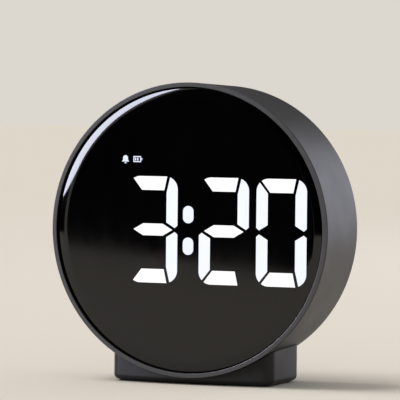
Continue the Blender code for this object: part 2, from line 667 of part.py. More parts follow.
def make_main_shell(axis):
    rebate = RING_WEB_RADIUS + FIT
    profile = [
        (drum_radius(SHELL_FRONT_Y), SHELL_FRONT_Y),
        (DRUM_REAR_RADIUS, REAR_Y),
        (DRUM_REAR_RADIUS - SHELL_WALL, REAR_Y),
        (drum_radius(FLANGE_BACK_Y) - SHELL_WALL, FLANGE_BACK_Y),
        (FLANGE_INNER_RADIUS, FLANGE_BACK_Y),
        (FLANGE_INNER_RADIUS, FLANGE_Y),
        (rebate, FLANGE_Y),
        (rebate, SHELL_FRONT_Y),
    ]
    shell = turned("main_shell", profile, "graphite_shell", axis)

    window = bmesh.new()
    window_outline = clipped_disc(drum_radius(FLANGE_Y) - SHELL_WALL - FIT, WINDOW_HALF_HEIGHT + FIT)
    extrude_outline(window, window_outline, FLANGE_Y - FLANGE_THICKNESS, FLANGE_BACK_Y + FLANGE_THICKNESS)
    boolean(shell, cutter("flange_window", window, axis), "DIFFERENCE")

    cover_spots = cover_screw_spots()
    cover_boss_end = COVER_INNER_Y - FIT
    cover_boss_start = DISPLAY_BOARD_BACK_Y + COVER_BOSS_START
    bosses = bmesh.new()
    display_profile = boss_profile(
        BOSS_RADIUS, DISPLAY_BOARD_Y - FIT, FLANGE_BACK_Y - FLANGE_THICKNESS / 2, DISPLAY_SCREW_GRIP + FIT
    )
    for x, z in display_screw_spots():
        spin_profile(bosses, display_profile, SMALL_SIDES, (x, 0, z))
    cover_profile = boss_profile(BOSS_RADIUS, cover_boss_end, cover_boss_start, COVER_SCREW_GRIP + FIT)
    for x, z in cover_spots:
        spin_profile(bosses, cover_profile, SMALL_SIDES, (x, 0, z))
    boolean(shell, cutter("screw_bosses", bosses, axis), "UNION")

    ribs = bmesh.new()
    half_rib = COVER_RIB_WIDTH / 2
    for x, z in cover_spots:
        wall_x = math.sqrt((DRUM_REAR_RADIUS - SHELL_WALL / 3) ** 2 - (abs(z) + half_rib) ** 2)
        boss_x = abs(x) + (SCREW_HOLE_RADIUS + BOSS_RADIUS) / 2
        start, end = sorted((math.copysign(boss_x, x), math.copysign(wall_x, x)))
        outline = [(start, z - half_rib), (end, z - half_rib), (end, z + half_rib), (start, z + half_rib)]
        extrude_outline(ribs, outline, cover_boss_start + half_rib, cover_boss_end - half_rib)
    boolean(shell, cutter("cover_ribs", ribs, axis), "UNION")

    foot_bosses = bmesh.new()
    height = FOOT_BOSS_TOP - DRUM_AXIS_HEIGHT
    for x in (-FOOT_SCREW_X, FOOT_SCREW_X):
        inside_z = math.sqrt((drum_radius(0) - SHELL_WALL) ** 2 - (FOOT_SCREW_X - BOSS_RADIUS) ** 2)
        outside_z = math.sqrt(drum_radius(0) ** 2 - (FOOT_SCREW_X + BOSS_RADIUS) ** 2)
        wall_z = -(inside_z + outside_z) / 2
        outline = circle(BOSS_RADIUS, (x, 0))
        extrude_outline(foot_bosses, outline, wall_z, height, upright=True)
    boolean(shell, cutter("foot_bosses", foot_bosses, axis), "UNION")

    pilots = bmesh.new()
    for x in (-FOOT_SCREW_X, FOOT_SCREW_X):
        outline = circle(SCREW_HOLE_RADIUS, (x, 0))
        extrude_outline(pilots, outline, -DRUM_AXIS_HEIGHT, height + BOSS_RADIUS, upright=True)
    boolean(shell, cutter("foot_pilots", pilots, axis), "DIFFERENCE")


# ---------------------------------------------------------------- rear cover


def grille_spots():
    """Rings of holes round a middle one, in front of the speaker."""
    spots = [(0.0, SPEAKER_Z)]
    for ring in range(1, GRILLE_RINGS + 1):
        spots += circle(ring * GRILLE_PITCH, (0.0, SPEAKER_Z), sides=6 * ring)
    return spots


def post_spots():
    x = MAIN_BOARD_WIDTH / 2 - POST_INSET
    z = MAIN_BOARD_HEIGHT / 2 - POST_INSET
    return [(sx, MAIN_BOARD_Z + sz) for sx, sz in mirrored_spots(x, z)]


def make_rear_cover(axis):
    cover_spots = cover_screw_spots()
    holes = [circle(BUTTON_RADIUS + SLIDING_FIT, (x, BUTTON_Z), 24) for x in BUTTON_XS]
    holes += [circle(GRILLE_HOLE_RADIUS, spot, 8) for spot in grille_spots()]
    holes += [circle(SCREW_HOLE_RADIUS, spot) for spot in cover_spots]
    slot_height = USB_HEIGHT + FIT * 2
    slot = rounded_rectangle(USB_WIDTH + FIT * 2, slot_height, slot_height * 0.45, (0, USB_Z))
    holes.append(slot)
    outline = circle(COVER_RADIUS, sides=TURNED_SIDES)
    cover = plate("rear_cover", outline, COVER_INNER_Y, COVER_Y, "rear_plastic", axis, holes)
    counterbores = bmesh.new()
    counterbore = disc_profile(SCREW_HEAD_RADIUS + FIT, COVER_Y - COUNTERBORE_DEPTH, REAR_Y)
    for x, z in cover_spots:
        spin_profile(counterbores, counterbore, SMALL_SIDES, (x, 0, z))
    boolean(cover, cutter("cover_counterbores", counterbores, axis), "DIFFERENCE")

    root = COVER_INNER_Y + COVER_THICKNESS / 3
    fittings = bmesh.new()
    post = boss_profile(POST_RADIUS, MAIN_BOARD_BACK_Y + FIT, root, SCREW_GRIP + FIT)
    for x, z in post_spots():
        spin_profile(fittings, post, SMALL_SIDES, (x, 0, z))
    collar_inner = SPEAKER_RADIUS + FIT
    collar = tube_profile(collar_inner, collar_inner + COLLAR_WALL, COVER_INNER_Y - SPEAKER_DEPTH, root)
    spin_profile(fittings, collar, 32, (0, 0, SPEAKER_Z))
    boolean(cover, cutter("posts_and_collar", fittings, axis), "UNION")

    for number, (x, z) in enumerate(cover_spots, 1):
        place = (x, COVER_Y - COUNTERBORE_DEPTH + FIT, z)
        length = COVER_THICKNESS - COUNTERBORE_DEPTH + FIT + COVER_SCREW_GRIP
        screw(f"cover_screw_{number}", axis, place, length, (0, -1, 0))


def make_main_board(axis):
    outline = rounded_rectangle(MAIN_BOARD_WIDTH, MAIN_BOARD_HEIGHT, 2 * MM, (0, MAIN_BOARD_Z))
    holes = [circle(SCREW_HOLE_RADIUS, spot) for spot in post_spots()]
    plate("main_board", outline, MAIN_BOARD_Y, MAIN_BOARD_BACK_Y, "green_board", axis, holes)
    for number, (x, z) in enumerate(post_spots(), 1):
        length = BOARD_THICKNESS + SCREW_GRIP
        screw(f"board_screw_{number}", axis, (x, MAIN_BOARD_Y - FIT, z), length, (0, 1, 0))
    main_board_part("controller_chip", CONTROLLER_CHIP, CONTROLLER_CHIP_PLACE, "black_package", axis)
    main_board_part("clock_crystal", CRYSTAL_CAN, CRYSTAL_PLACE, "steel", axis, CRYSTAL_CAN[1] * 0.4)


# ---------------------------------------------------------------- buttons


def make_button(name, x, axis):
    """A cap that shows behind, the switch it presses and the switch's plunger, at the cap's own centre."""
    place = (x, 0, BUTTON_Z)
    hidden_top = COVER_INNER_Y - FIT
    face = COVER_Y + BUTTON_PROUD
    stem_end = SWITCH_TOP_Y + PLUNGER_SEATED + FIT
    profile = [
        (0, stem_end),
        (PLUNGER_RADIUS, stem_end),
        (PLUNGER_RADIUS, hidden_top - BUTTON_FLANGE_THICKNESS),
        (BUTTON_RADIUS + BUTTON_FLANGE, hidden_top - BUTTON_FLANGE_THICKNESS),
        (BUTTON_RADIUS + BUTTON_FLANGE, hidden_top),
        (BUTTON_RADIUS, hidden_top),
        (BUTTON_RADIUS, face - BUTTON_EDGE),
        (BUTTON_RADIUS - BUTTON_EDGE, face),
        (0, face),
    ]
    turned(name, profile, "button_plastic", axis, place, 24)
    well_depth = PLUNGER_SEATED + BUTTON_TRAVEL + FIT
    body = plate(
        f"{name}_switch",
        rounded_rectangle(SWITCH_SIDE, SWITCH_SIDE, 0.4 * MM, steps=1),
        MAIN_REAR_PARTS_Y,
        SWITCH_TOP_Y,
        "black_package",
        axis,
        location=place,
    )
    well = bmesh.new()
    well_radius = PLUNGER_RADIUS + SLIDING_FIT
    spin_profile(well, disc_profile(well_radius, SWITCH_TOP_Y - well_depth, SWITCH_TOP_Y + FIT), SMALL_SIDES)
    boolean(body, cutter(f"{name}_well", well, axis, place), "DIFFERENCE")
    plunger = disc_profile(PLUNGER_RADIUS, SWITCH_TOP_Y - PLUNGER_SEATED, SWITCH_TOP_Y + PLUNGER_SEATED)
    turned(f"{name}_plunger", plunger, "cream_connector", axis, place, SMALL_SIDES)


# ---------------------------------------------------------------- socket, speaker, battery, leads


def make_usb_socket(axis):
    mouth_y = COVER_Y - USB_BELOW_COVER
    outer = rounded_rectangle(USB_WIDTH, USB_HEIGHT, USB_HEIGHT * 0.45, (0, USB_Z))
    inner_height = USB_HEIGHT - USB_WALL * 2
    inner = rounded_rectangle(USB_WIDTH - USB_WALL * 2, inner_height, inner_height * 0.45, (0, USB_Z))
    plate("usb_socket_shell", outer, MAIN_REAR_PARTS_Y, mouth_y, "steel", axis, [inner])
    block_width = USB_WIDTH - USB_WALL * 2 - FIT * 2
    block_height = inner_height - FIT * 2
    block = rounded_rectangle(block_width, block_height, block_height * 0.4, (0, USB_Z), 2)
    block_end = MAIN_REAR_PARTS_Y + USB_BLOCK_DEPTH
    core = plate("usb_socket_core", block, MAIN_REAR_PARTS_Y, block_end, "black_package", axis)
    tongue = bmesh.new()
    tongue_outline = rounded_rectangle(USB_TONGUE_WIDTH, USB_TONGUE_THICKNESS, 0.1 * MM, (0, USB_Z), 1)
    tongue_end = mouth_y - USB_TONGUE_BELOW_MOUTH
    extrude_outline(tongue, tongue_outline, block_end - USB_BLOCK_DEPTH / 3, tongue_end)
    boolean(core, cutter("usb_tongue", tongue, axis), "UNION")


def make_speaker(axis):
    place = (0, 0, SPEAKER_Z)
    rear = COVER_INNER_Y - FIT
    front = rear - SPEAKER_DEPTH
    bowl_y = front + SPEAKER_BASKET_WALL
    rim_radius = SPEAKER_RADIUS - SPEAKER_RIM
    basket = [
        (SPEAKER_MAGNET_RADIUS, front),
        (SPEAKER_RADIUS, front + SPEAKER_BASKET_WALL * 1.6),
        (SPEAKER_RADIUS, rear),
        (rim_radius, rear),
        (rim_radius, bowl_y + SPEAKER_BOWL_DEPTH),
        (0, bowl_y),
        (0, front),
    ]
    turned("speaker_basket", basket, "steel", axis, place, 32)
    cone_radius = rim_radius - FIT
    cone_y = bowl_y + FIT
    cone_rim_y = cone_y + SPEAKER_BOWL_DEPTH
    cone = [
        (0, cone_y),
        (cone_radius, cone_rim_y),
        (cone_radius, cone_rim_y + CONE_THICKNESS),
        (cone_radius / 2, cone_rim_y),
        (0, cone_rim_y + CONE_THICKNESS / 2),
    ]
    turned("speaker_cone", cone, "paper_cone", axis, place, 32)
    magnet = disc_profile(SPEAKER_MAGNET_RADIUS, front - FIT - SPEAKER_MAGNET_DEPTH, front - FIT)
    turned("speaker_magnet", magnet, "steel", axis, place, 32)


def make_battery(axis):
    outline = rounded_rectangle(BATTERY_WIDTH, BATTERY_HEIGHT, 2 * MM, (0, BATTERY_Z))
    battery = plate("battery_cell", outline, BATTERY_Y, BATTERY_Y + BATTERY_THICKNESS, "battery_wrap", axis)
    rounding = battery.modifiers.new("edge_rounding", "BEVEL")
    rounding.width = BATTERY_EDGE
    rounding.segments = 2
    rounding.limit_method = "ANGLE"
    width = BATTERY_WIDTH - TAPE_MARGIN * 2
    height = BATTERY_HEIGHT - TAPE_MARGIN * 2
    tape = rounded_rectangle(width, height, 1 * MM, (0, BATTERY_Z), 1)
    plate("battery_tape", tape, TAPE_Y, TAPE_Y + TAPE_THICKNESS, "black_foam", axis)


def make_sockets(axis):
    nylon = "cream_connector"
    display_board_part("display_ribbon_socket", RIBBON_SOCKET, (0, DISPLAY_RIBBON_Z), nylon, axis)
    main_board_part("main_ribbon_socket", RIBBON_SOCKET, (0, MAIN_RIBBON_Z), nylon, axis)
    main_board_part("battery_socket", LEAD_SOCKET, (LEAD_SOCKET_X, BATTERY_SOCKET_Z), nylon, axis)
    main_board_part("speaker_socket", LEAD_SOCKET, (LEAD_SOCKET_X, SPEAKER_SOCKET_Z), nylon, axis)


def make_leads(axis):
    """Two leads from the battery and two from the speaker, each ending on its socket."""
    half_wire = WIRE_DIAMETER / 2
    plug_y = MAIN_FRONT_PARTS_Y - LEAD_SOCKET[2] - FIT - half_wire
    battery_end = BATTERY_TOP_Z + FIT + half_wire
    battery_mid = BATTERY_Y + BATTERY_THICKNESS / 2
    behind_battery = (BATTERY_Y + BATTERY_THICKNESS + MAIN_BOARD_Y) / 2
    speaker_y = COVER_INNER_Y - FIT - SPEAKER_DEPTH - FIT - half_wire
    for label, side, colour in (("plus", -1, "red_wire"), ("minus", 1, "black_wire")):
        x = LEAD_SOCKET_X + side * LEAD_SPACING / 2
        points = [
            (x, battery_mid, battery_end),
            (x, battery_mid, battery_end + 3 * MM),
            (x, (battery_mid + plug_y) / 2, battery_end + 5 * MM),
            (x, plug_y - 0.4 * MM, BATTERY_SOCKET_Z - 2.5 * MM),
            (x, plug_y, BATTERY_SOCKET_Z),
        ]
        wire(f"battery_lead_{label}", points, colour, axis)
        start_x = side * 4 * MM - 6 * MM
        points = [
            (start_x, speaker_y, SPEAKER_Z + 9 * MM),
            (start_x - 3 * MM, speaker_y - 2.1 * MM, SPEAKER_Z + 14 * MM),
            (x + side * 1.5 * MM - 6 * MM, MAIN_BOARD_Y - 2 * MM, -6 * MM),
            (x - 8 * MM, behind_battery, BATTERY_TOP_Z),
            (x - 7 * MM, plug_y - 0.5 * MM, 15 * MM),
            (x, plug_y, SPEAKER_SOCKET_Z),
        ]
        wire(f"speaker_lead_{label}", points, colour, axis)


def make_ribbon(axis):
    """The flat cable that joins the two boards, a strip bent over in a loop."""
    socket_half = RIBBON_SOCKET[1] / 2 + FIT
    start_y = DISPLAY_REAR_PARTS_Y + RIBBON_SOCKET[2] / 2
    end_y = MAIN_FRONT_PARTS_Y - RIBBON_SOCKET[2] / 2
    points = [
        (0, start_y, DISPLAY_RIBBON_Z + socket_half),
        (0, start_y + 0.2 * MM, DISPLAY_RIBBON_Z + 6 * MM),
        (0, start_y + 2.5 * MM, DISPLAY_RIBBON_Z + 12 * MM),
        (0, (start_y + end_y) / 2, DISPLAY_RIBBON_Z + 15 * MM),
        (0, end_y - 2.0 * MM, MAIN_RIBBON_Z + 9 * MM),
        (0, end_y - 0.2 * MM, MAIN_RIBBON_Z + 5 * MM),
        (0, end_y, MAIN_RIBBON_Z + socket_half),
    ]
    route = smooth_route(points, 2.5 * MM)
    side = Vector((RIBBON_WIDTH / 2, 0, 0))
    bm = bmesh.new()
    rows = []
    for i, place in enumerate(route):
        ahead = route[min(i + 1, len(route) - 1)] - route[max(i - 1, 0)]
        across = ahead.normalized().cross(Vector((1, 0, 0))) * RIBBON_THICKNESS / 2
        corners = ((1, 1), (-1, 1), (-1, -1), (1, -1))
        rows.append([bm.verts.new(place + side * s + across * t) for s, t in corners])
    for a, b in zip(rows, rows[1:]):
        for k in range(4):
            bm.faces.new((a[k - 1], a[k], b[k], b[k - 1]))
    bm.faces.new(rows[0])
    bm.faces.new(rows[-1])
    add_object("ribbon_cable", bm, "white_ribbon", axis)


# ---------------------------------------------------------------- foot


def foot_outline(inset=0.0):
    """Plan of the foot, drawn inset: long sides bowed on a wide arc that runs smoothly into round corners."""
    half_length = FOOT_LENGTH / 2
    half_depth = (FOOT_REAR_Y - FOOT_FRONT_Y) / 2
    bow_radius = (half_length**2 + FOOT_BOW**2) / (2 * FOOT_BOW)
    bow_centre = (0, half_depth - bow_radius)
    reach = bow_radius - FOOT_CORNER_RADIUS
    turn = math.degrees(math.asin((half_length - FOOT_CORNER_RADIUS) / reach))
    corner_centre = (half_length - FOOT_CORNER_RADIUS, bow_centre[1] + reach * math.cos(math.radians(turn)))
    corner = arc(corner_centre, FOOT_CORNER_RADIUS - inset, 0, 90 - turn, CORNER_STEPS)
    bow = arc(bow_centre, bow_radius - inset, 90 - turn, 90, FOOT_BOW_STEPS)
    quarter = corner + bow[1:]
    rear = quarter + [(-x, y) for x, y in reversed(quarter[:-1])]
    outline = rear + [(x, -y) for x, y in reversed(rear)]
    return [(x, y + FOOT_MIDDLE_Y) for x, y in outline]


def drum_seat():
    """The drum's outside, grown by the clearance and past both ends, to cut its seat in the foot."""
    overhang = SHELL_WALL * 2
    profile = [
        (0, FRONT_Y - overhang),
        (drum_radius(FRONT_Y - overhang) + FIT, FRONT_Y - overhang),
        (drum_radius(REAR_Y + overhang) + FIT, REAR_Y + overhang),
        (0, REAR_Y + overhang),
    ]
    bm = bmesh.new()
    spin_profile(bm, profile, TURNED_SIDES * 2)
    return cutter("drum_seat", bm, None, (0, 0, DRUM_AXIS_HEIGHT))


def saddle_height(x):
    """Lowest height of the drum's outside at a distance from its middle plane."""
    return DRUM_AXIS_HEIGHT - math.sqrt(DRUM_FRONT_RADIUS**2 - x**2)


def ballast_section(clearance):
    """Side view of one ballast block under its sloping roof, grown by a clearance, as (x, z) points."""
    end = BALLAST_START_X + BALLAST_LENGTH
    start_roof = saddle_height(BALLAST_START_X) - BALLAST_ROOF
    slope = (saddle_height(end) - BALLAST_ROOF * 1.2 - start_roof) / BALLAST_LENGTH
    low = PAD_ROOF_Z + FIT - clearance
    rise = clearance * math.hypot(1, slope) - FIT * 2
    start_top = start_roof + rise - slope * clearance
    end_top = start_roof + rise + slope * (BALLAST_LENGTH + clearance)
    return [
        (BALLAST_START_X - clearance, low),
        (end + clearance, low),
        (end + clearance, end_top),
        (BALLAST_START_X - clearance, start_top),
    ]


def make_foot():
    roof = saddle_height(FOOT_LENGTH / 2) + FOOT_SHOULDER
    foot = plate("stand_base", foot_outline(), PAD_PROUD, roof, "graphite_shell", None, upright=True)
    boolean(foot, drum_seat(), "DIFFERENCE")
    recess = bmesh.new()
    extrude_outline(recess, foot_outline(PAD_INSET - FIT), -PAD_THICKNESS, PAD_ROOF_Z, upright=True)
    boolean(foot, cutter("pad_recess", recess, None), "DIFFERENCE")

    pockets = bmesh.new()
    for side in (-1, 1):
        section = [(side * x, z) for x, z in ballast_section(FIT)]
        section[0] = (section[0][0], 0.0)
        section[1] = (section[1][0], 0.0)
        half = BALLAST_DEPTH / 2 + FIT
        extrude_outline(pockets, section, FOOT_MIDDLE_Y - half, FOOT_MIDDLE_Y + half)
    boolean(foot, cutter("ballast_pockets", pockets, None), "DIFFERENCE")

    head_seat = PAD_ROOF_Z + SCREW_HEAD_HEIGHT + FIT
    holes = bmesh.new()
    for x in (-FOOT_SCREW_X, FOOT_SCREW_X):
        extrude_outline(holes, circle(SCREW_HOLE_RADIUS, (x, 0)), 0, roof, upright=True)
    boolean(foot, cutter("foot_screw_holes", holes, None), "DIFFERENCE")
    counterbores = bmesh.new()
    for x in (-FOOT_SCREW_X, FOOT_SCREW_X):
        outline = circle(SCREW_HEAD_RADIUS + FIT, (x, 0))
        extrude_outline(counterbores, outline, 0, head_seat + FIT, upright=True)
    boolean(foot, cutter("foot_counterbores", counterbores, None), "DIFFERENCE")

    for name, side in (("foot_screw_left", -1), ("foot_screw_right", 1)):
        length = FOOT_BOSS_TOP - head_seat - FOOT_BOSS_FLOOR
        screw(name, None, (side * FOOT_SCREW_X, 0, head_seat), length, (0, 0, 1))
    for name, side in (("ballast_left", -1), ("ballast_right", 1)):
        section = [(side * x, z) for x, z in ballast_section(0)]
        front = FOOT_MIDDLE_Y - BALLAST_DEPTH / 2
        plate(name, section, front, front + BALLAST_DEPTH, "steel", None)
    plate("base_pad", foot_outline(PAD_INSET), 0, PAD_THICKNESS, "foot_rubber", None, upright=True)


# ---------------------------------------------------------------- assembly


def main():
    clear_scene()
    axis = bpy.data.objects.new("drum_axis", None)
    bpy.context.scene.collection.objects.link(axis)
    axis.location = (0, 0, DRUM_AXIS_HEIGHT)

    make_front_ring(axis)
    make_front_lens(axis)
    make_lens_gasket(axis)
    make_segment_mask(axis)
    make_diffuser(axis)
    make_reflector(axis)
    make_display_board(axis)
    make_main_shell(axis)
    make_rear_cover(axis)
    make_main_board(axis)
    for name, x in zip(BUTTON_NAMES, BUTTON_XS):
        make_button(name, x, axis)
    make_usb_socket(axis)
    make_speaker(axis)
    make_battery(axis)
    make_sockets(axis)
    make_leads(axis)
    make_ribbon(axis)
    make_foot()
    bpy.context.view_layer.update()


main()
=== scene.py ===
"""Outer surfaces, lit display and finishes of a round desk alarm clock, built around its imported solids.

Sizes are in metres with +Z up. The display looks along -Y and the drum's axis is parallel to Y, so a turned
profile is a list of (radius, y) points and a flat outline is a list of (x, z) points from the drum's axis.
"""

import math

import bmesh
import bpy
from mathutils import Matrix, Vector


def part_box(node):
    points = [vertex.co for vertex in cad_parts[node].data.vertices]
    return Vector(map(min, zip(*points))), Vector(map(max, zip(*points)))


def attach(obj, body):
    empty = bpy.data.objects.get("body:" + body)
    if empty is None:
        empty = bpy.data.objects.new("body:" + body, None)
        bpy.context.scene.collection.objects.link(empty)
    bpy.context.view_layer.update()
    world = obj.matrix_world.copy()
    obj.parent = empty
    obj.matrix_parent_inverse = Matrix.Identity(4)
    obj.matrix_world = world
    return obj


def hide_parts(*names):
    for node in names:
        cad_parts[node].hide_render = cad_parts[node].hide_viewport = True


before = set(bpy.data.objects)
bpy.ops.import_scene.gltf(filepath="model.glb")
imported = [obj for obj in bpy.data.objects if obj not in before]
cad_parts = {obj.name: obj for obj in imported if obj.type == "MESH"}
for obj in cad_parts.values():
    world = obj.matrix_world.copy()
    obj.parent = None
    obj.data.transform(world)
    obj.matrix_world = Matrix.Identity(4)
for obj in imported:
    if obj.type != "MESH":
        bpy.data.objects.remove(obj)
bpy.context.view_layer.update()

bl_info = {
    "name": "Round Desk Alarm Clock",
    "version": (1, 0, 0),
    "blender": (4, 5, 0),
    "location": "3D View > Sidebar > Alarm Clock",
    "description": "Makes the surfaces, lit display and finishes of a round desk alarm clock",
    "category": "Object",
}

MM = 0.001

# Places that come from the frame
RING_LOW, RING_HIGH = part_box("front_ring")
LENS_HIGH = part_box("front_lens")[1]
SHELL_LOW, SHELL_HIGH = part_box("main_shell")
COVER_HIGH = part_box("rear_cover")[1]
FOOT_LOW, FOOT_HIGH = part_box("stand_base")
PAD_LOW, PAD_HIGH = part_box("base_pad")
AXIS_Z = (RING_LOW.z + RING_HIGH.z) / 2
FRONT_Y = RING_LOW.y
REAR_Y = SHELL_HIGH.y
RING_RADIUS = RING_HIGH.x
LENS_RADIUS = LENS_HIGH.x
COVER_RADIUS = COVER_HIGH.x
BUTTONS = ("button_set", "button_down", "button_up", "button_alarm")

# Sizes that the solids in the frame were made with, and that neighbours share
RING_LIP_DEPTH = 1.1 * MM
FIT = SHELL_LOW.y - FRONT_Y - RING_LIP_DEPTH
COVER_THICKNESS = 2.2 * MM
COVER_INSIDE = COVER_HIGH.y - COVER_THICKNESS
JOINED = 0.7 * MM  # how deep a boss or post runs into the wall it stands on
FLANGE_THICKNESS = 1.5 * MM
FLANGE_WIDTH = 12.5 * MM
FLANGE_WINDOW_MARGIN = 4.8 * MM
BOSS_RADIUS = 3.2 * MM
BOSS_ROOM = 3.6 * MM  # from the display board's back to the cover's bosses
SEAT_OVERRUN = 5 * MM
POST_RADIUS = 2.5 * MM
SCREW_HOLE_RADIUS = 1.6 * MM
SCREW_RADIUS = 1.3 * MM
SCREW_CORE_RADIUS = 1.05 * MM
SCREW_PITCH = 0.55 * MM
SCREW_HEAD_RADIUS = 2.5 * MM
SCREW_HEAD_HEIGHT = 1.4 * MM
COUNTERBORE_RADIUS = 2.8 * MM
COUNTERBORE_DEPTH = 1 * MM
FOOT_COUNTERBORE_DEPTH = 2 * MM
COVER_SCREW_DEPTH = 8.3 * MM
BOARD_SCREW_DEPTH = 5.8 * MM
RIB_THICKNESS = 2 * MM
FOOT_BOSS_TOP = 15 * MM
BUTTON_HOLE_RADIUS = 4.35 * MM
BUTTON_FLANGE_WIDTH = 1.2 * MM
BUTTON_FLANGE_THICKNESS = 1.2 * MM
BUTTON_STEM_RADIUS = 1.7 * MM
GRILLE_PITCH = 4.2 * MM
GRILLE_HOLE_RADIUS = 0.9 * MM
SPEAKER_COLLAR_RADIUS = 14.3 * MM
SPEAKER_COLLAR_DEPTH = 4.8 * MM
SPEAKER_COLLAR_WALL = 1.5 * MM
USB_WALL = 0.35 * MM
USB_CORNER = 0.45  # of its height
USB_CONTACT = (0.25 * MM, 0.06 * MM, 3.0 * MM)
USB_CONTACT_PITCH = 0.5 * MM
USB_CONTACTS_IN_ROW = 12
TAPE_WIDTH = 5 * MM
LED = (1.6 * MM, 0.8 * MM, 0.6 * MM)
BELL_SIGN_X = -30.2 * MM
BATTERY_SIGN_X = -24.4 * MM
FINE_SIDES = 256


# ---------------------------------------------------------------- user settings


def linear(hex_colour):
    """Linear RGB of a six-digit sRGB colour."""
    parts = [int(hex_colour[i : i + 2], 16) / 255 for i in (0, 2, 4)]
    return [p / 12.92 if p <= 0.04045 else ((p + 0.055) / 1.055) ** 2.4 for p in parts]


def length(name, text, millimetres):
    return bpy.props.FloatProperty(
        name=name, description=text, default=millimetres * MM, min=0, unit="LENGTH", precision=5
    )


def colour(name, text, hex_colour):
    return bpy.props.FloatVectorProperty(
        name=name, description=text, default=linear(hex_colour), min=0, max=1, size=3, subtype="COLOR"
    )


def degrees(name, text, value):
    return bpy.props.FloatProperty(name=name, description=text, default=math.radians(value), subtype="ANGLE")


class ClockDrumSizes(bpy.types.PropertyGroup):
    ring_face: length("Ring face", "Width of the ring's face", 1.9)
    ring_lip: length("Ring lip", "Depth of the ring's outer lip", 0.4)
    ring_edge: length("Ring edge", "Rounding of the ring's outer edge", 0.2)
    ring_inner_edge: length("Ring inner edge", "Rounding of the ring's inner edge", 0.2)
    ring_web: length("Ring web", "Wall of the ring behind its lip", 0.8)
    ring_ledge: length("Ring ledge", "Width of the ledge that holds the lens", 2.6)
    ring_ledge_thickness: length("Ledge thickness", "Thickness of that ledge", 1.2)
    lens_drop: length("Lens drop", "How far the lens's rounded rim falls back", 0.97)
    lens_rim: length("Lens rim", "Width of the lens's rounded rim", 5.0)
    light_recess: length("Light recess", "How far the lens's face is behind the ring's", 0.1)
    shell_wall: length("Shell wall", "Wall thickness of the drum", 2.2)
    shell_taper: length("Shell taper", "Radius lost from front to rear", 1.5)
    shell_front_edge: length("Shell front edge", "Rounding at the parting line", 0.8)
    shell_rear_edge: length("Shell rear edge", "Rounding at the rear", 0.4)


class ClockDisplaySizes(bpy.types.PropertyGroup):
    digit_width: length("Digit width", "Width of one digit", 23.45)
    digit_height: length("Digit height", "Height of one digit", 47.0)
    bar: length("Bar", "Width of the upright and middle bars", 5.3)
    cap: length("Cap", "Width of the top and bottom bars", 6.1)
    gap: length("Gap", "Gap between bars", 1.45)
    corner: length("Corner", "Corner radius of a digit", 5.7)
    digit_gap: length("Digit gap", "Gap between two digits", 3.5)
    dot_gap: length("Dot gap", "Gap from a dot to the next digit", 2.6)
    dot_width: length("Dot width", "Width of the dots", 5.0)
    dot_height: length("Dot height", "Height of the dots", 7.6)
    dot_z: length("Dot height from middle", "Height of the dots from the middle", 6.95)
    sign: length("Sign", "Size of the two small signs", 4.4)
    sign_z: length("Sign height", "Height of the signs above the middle", 30.9)
    shift: length("Shift", "How far the display sits to the right of the middle", 0.4)
    border: length("Border", "Width of the softer border of a lit bar", 0.3)
    proud: length("Proud", "Thickness of the lit layer on the lens", 0.05)


class ClockFootSizes(bpy.types.PropertyGroup):
    bow: length("Bow", "How far the long sides are bowed", 3.2)
    corner: length("Corner", "Corner radius of the foot's plan", 5.0)
    bottom_edge: length("Bottom edge", "Rounding along the foot's bottom edge", 2.3)
    pad_inset: length("Pad inset", "From the foot's edge to the pad's", 2.6)
    pad_edge: length("Pad edge", "Rounding of the pad's lower edge", 0.25)
    stud_pitch: length("Stud pitch", "Distance between the pad's studs", 3.0)
    stud_radius: length("Stud radius", "Radius of one stud", 1.0)
    stud_height: length("Stud height", "Height of one stud", 0.2)


class ClockRearSizes(bpy.types.PropertyGroup):
    hole_edge: length("Hole edge", "Rounding at the rim of each hole in the cover", 0.25)
    cap_edge: length("Cap edge", "Rounding of a button's edge", 0.6)
    cap_dish: length("Cap dish", "Depth of the hollow in a button's top", 0.25)
    mark: length("Mark", "Size of the raised mark on a button", 3.2)
    mark_height: length("Mark height", "How far a mark stands up", 0.12)
    recess_width: length("Recess width", "Width of a wing of a screw's cross recess", 0.6)
    recess_depth: length("Recess depth", "Depth of that recess", 0.8)


class ClockColours(bpy.types.PropertyGroup):
    shell: colour("Shell", "Graphite plastic of the drum", "2a2a2f")
    # The foot's colour is darker than the drum's plastic of the same kind: painted shade for the shade on the
    # foot's front under the drum.
    foot: colour("Foot", "Graphite plastic of the foot", "1c1c1e")
    ring: colour("Ring", "Satin paint of the ring", "45454a")
    lens: colour("Lens", "Black behind the smoked acrylic", "010102")
    light: colour("Light", "Light of the display", "fefeff")
    light_edge: colour("Light edge", "Light at the edge of a lit bar", "cfdcff")
    rear: colour("Rear", "Plastic of the rear cover", "2a2a2e")
    button: colour("Button", "Plastic of the buttons", "3e3e44")
    mark: colour("Mark", "Paint of the marks on the buttons", "b9bac0")
    rubber: colour("Rubber", "Rubber of the pad", "17171a")
    steel: colour("Steel", "Nickel-plated steel", "b9bbbe")
    screw: colour("Screw", "Black zinc-plated steel", "2b2b2f")
    board: colour("Board", "Solder mask of the boards", "1d4a32")
    floor: colour("Floor", "Floor of the studio", "e6e2dc")
    world: colour("Surround", "Surround of the studio", "dcd7cf")


class ClockView(bpy.types.PropertyGroup):
    azimuth: degrees("Azimuth", "How far the camera stands round to the right", 22.262)
    elevation: degrees("Elevation", "How far the camera stands above the drum's axis", 2.709)
    roll: degrees("Roll", "Turn of the camera about its own axis", 0.528)
    aim_right: degrees("Aim right", "How far the camera looks to the right of the ring's centre", 0.2083)
    aim_up: degrees("Aim up", "How far the camera looks above the ring's centre", 0.5074)
    distance: bpy.props.FloatProperty(
        name="Distance", description="From the ring's centre", default=1.5144, unit="LENGTH"
    )
    lens: bpy.props.FloatProperty(name="Lens", description="Focal length in millimetres", default=310.24)


